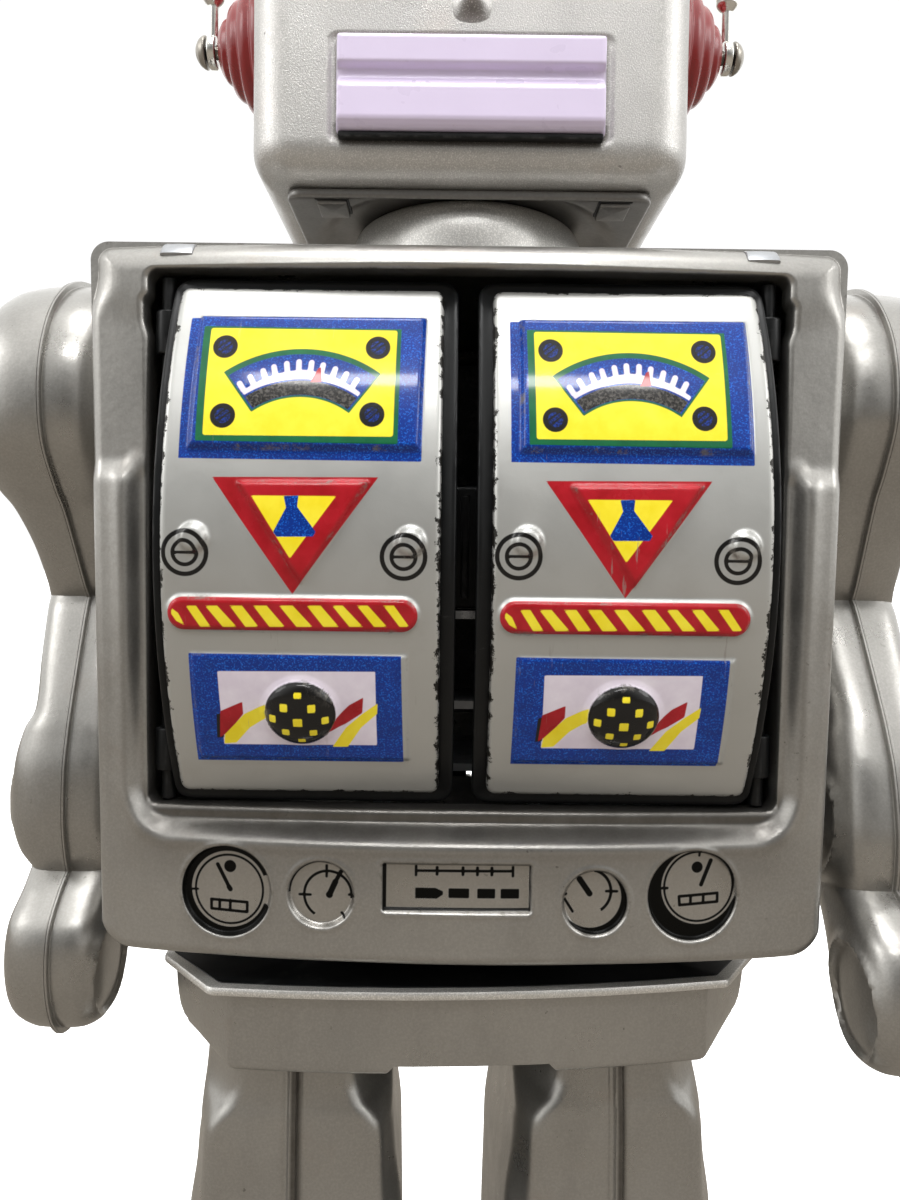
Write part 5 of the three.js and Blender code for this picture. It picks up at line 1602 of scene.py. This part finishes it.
def hips():
    hole = plug(WAIST_HOLE, 96.0, 108.0)
    inside = hip_plan((33.4, 27.9, 2.4, 41.9, 16.6), 0, 91.7, 92.8)
    raised = inside.copy()
    raised[:, 2] = 101.8
    rings = [raised, inside]
    for sine, cosine in quarter(6):
        rise = 0.9 * (1 - cosine)
        rings.append(hip_plan((34.2, 28.8, 2.4, 42.75, 17), 0.9 * (1 - sine),
                              91.5 + rise, 92.5 + rise))
    # half width, front height, side height
    for side_x, front_z, side_z in ((43.3, 93.4, 94.2), (43.8, 95, 95.6), (44.1, 97, 97.4),
                                    (44.3, 99, 99.2), (44.4, 101, 101.1), (44.4, 103, 103)):
        rings.append(hip_plan((34.2, 28.8, 2.4, side_x, 17), 0, front_z, side_z))
    ob = make("hip_tin", loft(rings), SILVER, "hips", "hip_block")
    # the gap below widens downward
    gap, gap_faces = plain_box(-11.0, 11.0, -40, 40, 90.9, 92.9)
    gap[:, 0] += 1.9 * np.sign(gap[:, 0]) * (gap[:, 2] < 91)
    cut_away(ob, [(gap, gap_faces), hole], turn=True)

    def layer(name, material, size, levels, replaces=None):
        """Thin layer from levels of (inset, z), with the waist hole."""
        shape = loft([hip_plan(size, inset, z, z) for inset, z in levels])
        cut_away(make(name, shape, material, "hips", replaces), [hole], turn=True)

    layer("hip_flange", BRIGHT, (36.9, 30.4, 2.6, 45.6, 19.3),
          ((0.6, 103.12), (0.15, 103.2), (0, 103.45), (0, 104.0), (0.15, 104.3), (0.6, 104.42)),
          "hip_rim")
    # painted shade: a black layer on the top of the hips stands for the shadow under the chest
    layer("hip_top_shade", BLACK, (35.6, 29.2, 2.6, 44.4, 18.6),
          ((0.0, 104.3), (0.1, 104.52), (0.4, 104.58)))
    disc_profile = fillet([(WAIST_HOLE, 104.6), (19, 104.6), (19, 107.5), (WAIST_HOLE, 107.5)],
                          0.5, 3, closed=True)
    make("waist_disc", lathe(disc_profile, 72, "z", loop=True), BLACK, "hips", "waist_bearing")


# Leg rows: height, half width of the front face, half width, half depth, corner depth.
LEG_ROWS = [
    [15.3, 13.6, 17.0, 23.8, 6], [24, 13.5, 17.0, 23.5, 6], [40, 13.4, 17.0, 23.2, 6],
    [52, 13.35, 16.8, 22.9, 6], [62, 13.3, 16.6, 22.6, 6], [70, 13.2, 15.6, 22.0, 6.3],
    [75, 13.15, 15.2, 21.8, 6.3], [76.6, 13.05, 15.0, 21.7, 6.3], [78.4, 12.6, 15.0, 21.55, 6.7],
    [80.2, 11.4, 15.0, 21.4, 7.9], [82.2, 9.7, 15.0, 21.1, 9.6], [84.6, 8.6, 15.0, 20.8, 10.8],
    [88, 8.3, 15.0, 20.5, 11.3], [92, 8.3, 15.0, 20.2, 11.5], [96, 8.3, 14.8, 19.9, 11.5],
    [99.2, 8.3, 14.6, 19.6, 11.5]]


def leg_shell(side, middle_x):
    """Eight-sided shell with a ridge down the front and the back."""
    rings, shades = [], []
    for z, face, half_x, half_y, corner in spline(LEG_ROWS, 120):
        points = [(-face, -half_y), (face, -half_y), (half_x, corner - half_y),
                  (half_x, half_y - corner), (face, half_y), (-face, half_y),
                  (-half_x, half_y - corner), (-half_x, corner - half_y)]
        x, y = soft_ring(points, 1.6, [96, 6, 16, 6, 96, 6, 16, 6]).T
        ridge = (0.75 * ease(0.85, 0.4, np.abs(x))
                 - 0.2 * np.exp(-(((np.abs(x) - 1.15) / 0.3) ** 2))
                 + 0.7 * np.clip(1 - np.abs(x) / face, 0, 1))
        y = np.where(np.abs(y) > half_y - 0.4, y + np.sign(y) * ridge, y)
        # painted shadow: a dark stripe just beside the ridge on one side, and painted shade
        # towards the top of the leg under the hips
        beside = ease(-0.5, 0.0, x) * ease(1.5, 0.9, x) * (np.abs(y) > half_y - 0.4)
        shades.append(0.8 * beside + 0.45 * ease(90, 99, z))
        rings.append(xyz(x + middle_x, y, z))
    inside = rings[0].copy()
    inside[:, 0] = middle_x + (inside[:, 0] - middle_x) * 0.95
    inside[:, 1] *= 0.96
    shade = np.clip(np.concatenate([shades[0]] + shades + [np.zeros(1)]), 0, 0.9)
    make("leg_tin_" + side, loft([inside] + rings, start_cap=False), SILVER, side + "_leg",
         "leg_shell_" + side, sharp=45, attributes={"shade": shade})


def foot_shell(side, middle_x):
    # distance in from the side, height
    walls = [(0.5, 2.2), (0.12, 2.35), (0.0, 2.8), (0.0, 3.6), (-0.35, 3.9), (-0.35, 4.5),
             (0, 4.8), (0, 9.2)]
    shoulder = [(4.6 * (1 - cosine), 9.6 + 5.0 * sine) for sine, cosine in quarter(9)[1:]]
    rings = [level_ring(17.5 - inset, 44.5 - inset, max(7 - inset * 0.6, 2), z, (middle_x, 0),
                        corner_steps=12, pieces=22) for inset, z in walls + shoulder]

    def slope(points):
        """Lowers the top toward the toe and the heel."""
        points[:, 2] -= 1.2 * ease(26, 44, np.abs(points[:, 1]))

    for points in rings[len(walls):]:
        slope(points)
    last = rings[-1]
    centre = last.mean(0)
    for scale in (0.85, 0.6, 0.3):
        points = centre + (last - centre) * scale
        points[:, 2] = 14.6 + 0.35 * (1 - scale)
        slope(points)
        rings.append(points)
    inside = rings[0].copy()
    inside[:, 0] = middle_x + (inside[:, 0] - middle_x) * 0.96
    inside[:, 1] *= 0.985
    raised = inside.copy()
    raised[:, 2] = 9.0
    make("foot_tin_" + side, loft([raised, inside] + rings, start_cap=False), SILVER,
         side + "_leg", "foot_shell_" + side, sharp=55)


def wheels(side, middle_x):
    """Grooved rollers under the toe and the heel."""
    axle_z = 4.0 * math.cos(math.pi / 16)
    profile = [(0, -11.4), (1.2, -11.4), (1.2, -9.0), (3.2, -9.0)]
    profile += [(3.98 - (0.22 if k % 2 else 0.0), k) for k in range(-8, 9)]
    profile += [(3.2, 9.0), (1.2, 9.0), (1.2, 11.4), (0, 11.4)]
    for end, y in (("front", -28), ("rear", 28)):
        make(f"wheel_{end}_{side}", lathe(fillet(profile, 0.25, 2), 48, "x",
                                          (middle_x, y, axle_z)),
             RUBBER, f"{end}_{side}_roller", f"roller_{end}_{side}", sharp=60)


hips()
for side, sign in SIDES:
    leg_x = 24.7 * sign - 1.3
    leg_shell(side, leg_x)
    foot_shell(side, leg_x)
    wheels(side, leg_x)

# ============================================================= inside pieces
# CAD pieces that keep their own mesh
KEPT_PIECES = {"waist_shaft": STEEL, "leg_shaft": STEEL, "gun_guide": STEEL,
               "gearbox_frame": ZINC, "battery_tray": BLACK,
               "sole_plate_left": STEEL, "sole_plate_right": STEEL}


def inside_pieces():
    for name, material in KEPT_PIECES.items():
        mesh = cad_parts[name].data
        mesh.materials.clear()
        mesh.materials.append(material.material)
    motor = fillet([(0, 14.6), (1.2, 14.6), (1.2, 16.4), (9, 16.4), (9, 40), (7.4, 41.4),
                    (2.6, 41.4), (2.6, 43), (0, 43)], 0.5, 4)
    make("motor_can", lathe(motor, 48, "x", (0, 0, 122.3)), STEEL, "torso", "motor")
    cell = fillet([(0, -24.6), (12.3, -24.6), (13.1, -23.8), (13.1, 22.6), (12.2, 23.6),
                   (3.4, 23.6), (3.2, 25.4), (0, 25.4)], 0.4, 4)
    for name, z, sign in (("lower", 153.6, 1), ("upper", 181.4, -1)):
        verts, faces = lathe(mirrored(cell, sign), 56, "x", (0, 11.5, z))
        along = np.array([verts[face, 0].mean() for face in faces]) * sign
        bare = (along > 22.7) | (along < -23.9)
        make("cell_" + name, (verts, faces), [CELL, CELL_END], "torso", "battery_cell_" + name,
             face_slots=bare.astype(int))


inside_pieces()


# ====================================================== stage, light, camera
def stage_floor():
    """Pale floor that looks brightly lit but throws back only a dim warm light."""
    mat = Mat("floor")
    tone = mat.mix(mat.cloud(scale=6, detail=2, span=(0.3, 0.7)),
                   (0.86, 0.86, 0.86), (0.90, 0.90, 0.90))
    seen = mat.add("LightPath").outputs["Is Camera Ray"]
    mat.set(Base_Color=mat.mix(seen, (0.24, 0.215, 0.185), tone), Roughness=0.8,
            Emission_Color=(1.0, 1.0, 1.0), Emission_Strength=mat.times(seen, 0.62),
            Specular_IOR_Level=0.0)
    bpy.ops.mesh.primitive_plane_add(size=30.0, location=(0, 0, 0))
    floor = bpy.context.object
    floor.name = "floor"
    floor.data.materials.append(mat.material)


def room():
    """Light from a room that is pale behind and to the sides and dim in front."""
    world = bpy.data.worlds.new("world")
    bpy.context.scene.world = world
    world.use_nodes = True
    nodes = Nodes(world.node_tree)
    output = nodes.add("OutputWorld")
    lighting, backdrop = nodes.add("Background"), nodes.add("Background")
    split = nodes.add("SeparateXYZ")
    nodes.put(split.inputs[0], nodes.add("TexCoord").outputs["Generated"])
    x, y, z = (split.outputs[axis] for axis in "XYZ")
    behind = nodes.times(y, 0.85)
    beside = nodes.times(nodes.math("ABSOLUTE", x), 0.95)
    above = nodes.times(nodes.math("MAXIMUM", z, 0.0), 0.72)
    strength = nodes.ramp(nodes.plus(nodes.plus(behind, beside), above), span=(-0.58, 0.60),
                          to=(0.21, 1.58), interpolation_type="SMOOTHSTEP")
    nodes.fill(lighting, Strength=strength, Color=(1.0, 1.0, 0.985))
    nodes.fill(backdrop, Strength=1.05, Color=(1.0, 1.0, 1.0))
    switch_node = nodes.add("MixShader")
    nodes.put(switch_node.inputs[0], nodes.add("LightPath").outputs["Is Camera Ray"])
    nodes.put(switch_node.inputs[1], lighting.outputs[0])
    nodes.put(switch_node.inputs[2], backdrop.outputs[0])
    nodes.put(output.inputs[0], switch_node.outputs[0])


def area_light(name, location, target, size, power, size_y=None):
    """Area light with places and sizes in metres."""
    light = bpy.data.lights.new(name, "AREA")
    light.energy = power
    light.size = size
    if size_y:
        light.shape = "RECTANGLE"
        light.size_y = size_y
    ob = bpy.data.objects.new(name, light)
    ob.location = location
    aim = Vector(target) - Vector(location)
    ob.rotation_euler = aim.to_track_quat("-Z", "Y").to_euler()
    bpy.context.scene.collection.objects.link(ob)


def camera():
    data = bpy.data.cameras.new("camera")
    data.lens = 27.18
    data.sensor_width = 36
    data.clip_start = 0.005
    data.clip_end = 20
    ob = bpy.data.objects.new("camera", data)
    bpy.context.scene.collection.objects.link(ob)
    pitch, yaw, roll = math.radians(2.23), math.radians(-0.11), math.radians(0.74)
    forward = Vector((math.sin(yaw) * math.cos(pitch), math.cos(yaw) * math.cos(pitch),
                      -math.sin(pitch)))
    right = Vector((math.cos(yaw), -math.sin(yaw), 0))
    up = right.cross(forward)
    rolled_right = math.cos(roll) * right + math.sin(roll) * up
    rolled_up = -math.sin(roll) * right + math.cos(roll) * up
    matrix = Matrix((rolled_right, rolled_up, -forward)).transposed().to_4x4()
    matrix.translation = Vector((-0.0018, -0.156, 0.1634))
    ob.matrix_world = matrix
    bpy.context.scene.camera = ob


stage_floor()
room()
bpy.context.scene.view_settings.view_transform = "Standard"
area_light("key", location=(0.0, -0.24, 1.2), target=(0, -0.02, 0.15), size=0.55, power=5.6,
           size_y=0.28)
area_light("strip", location=(0.0, -0.62, 0.86), target=(0, 0, 0.18), size=0.45, power=2.2,
           size_y=0.05)
for side, sign in SIDES:
    area_light("side_" + side, location=(0.85 * sign, -0.32, 0.68), target=(0, 0, 0.15),
               size=0.4, power=2.2)
camera()
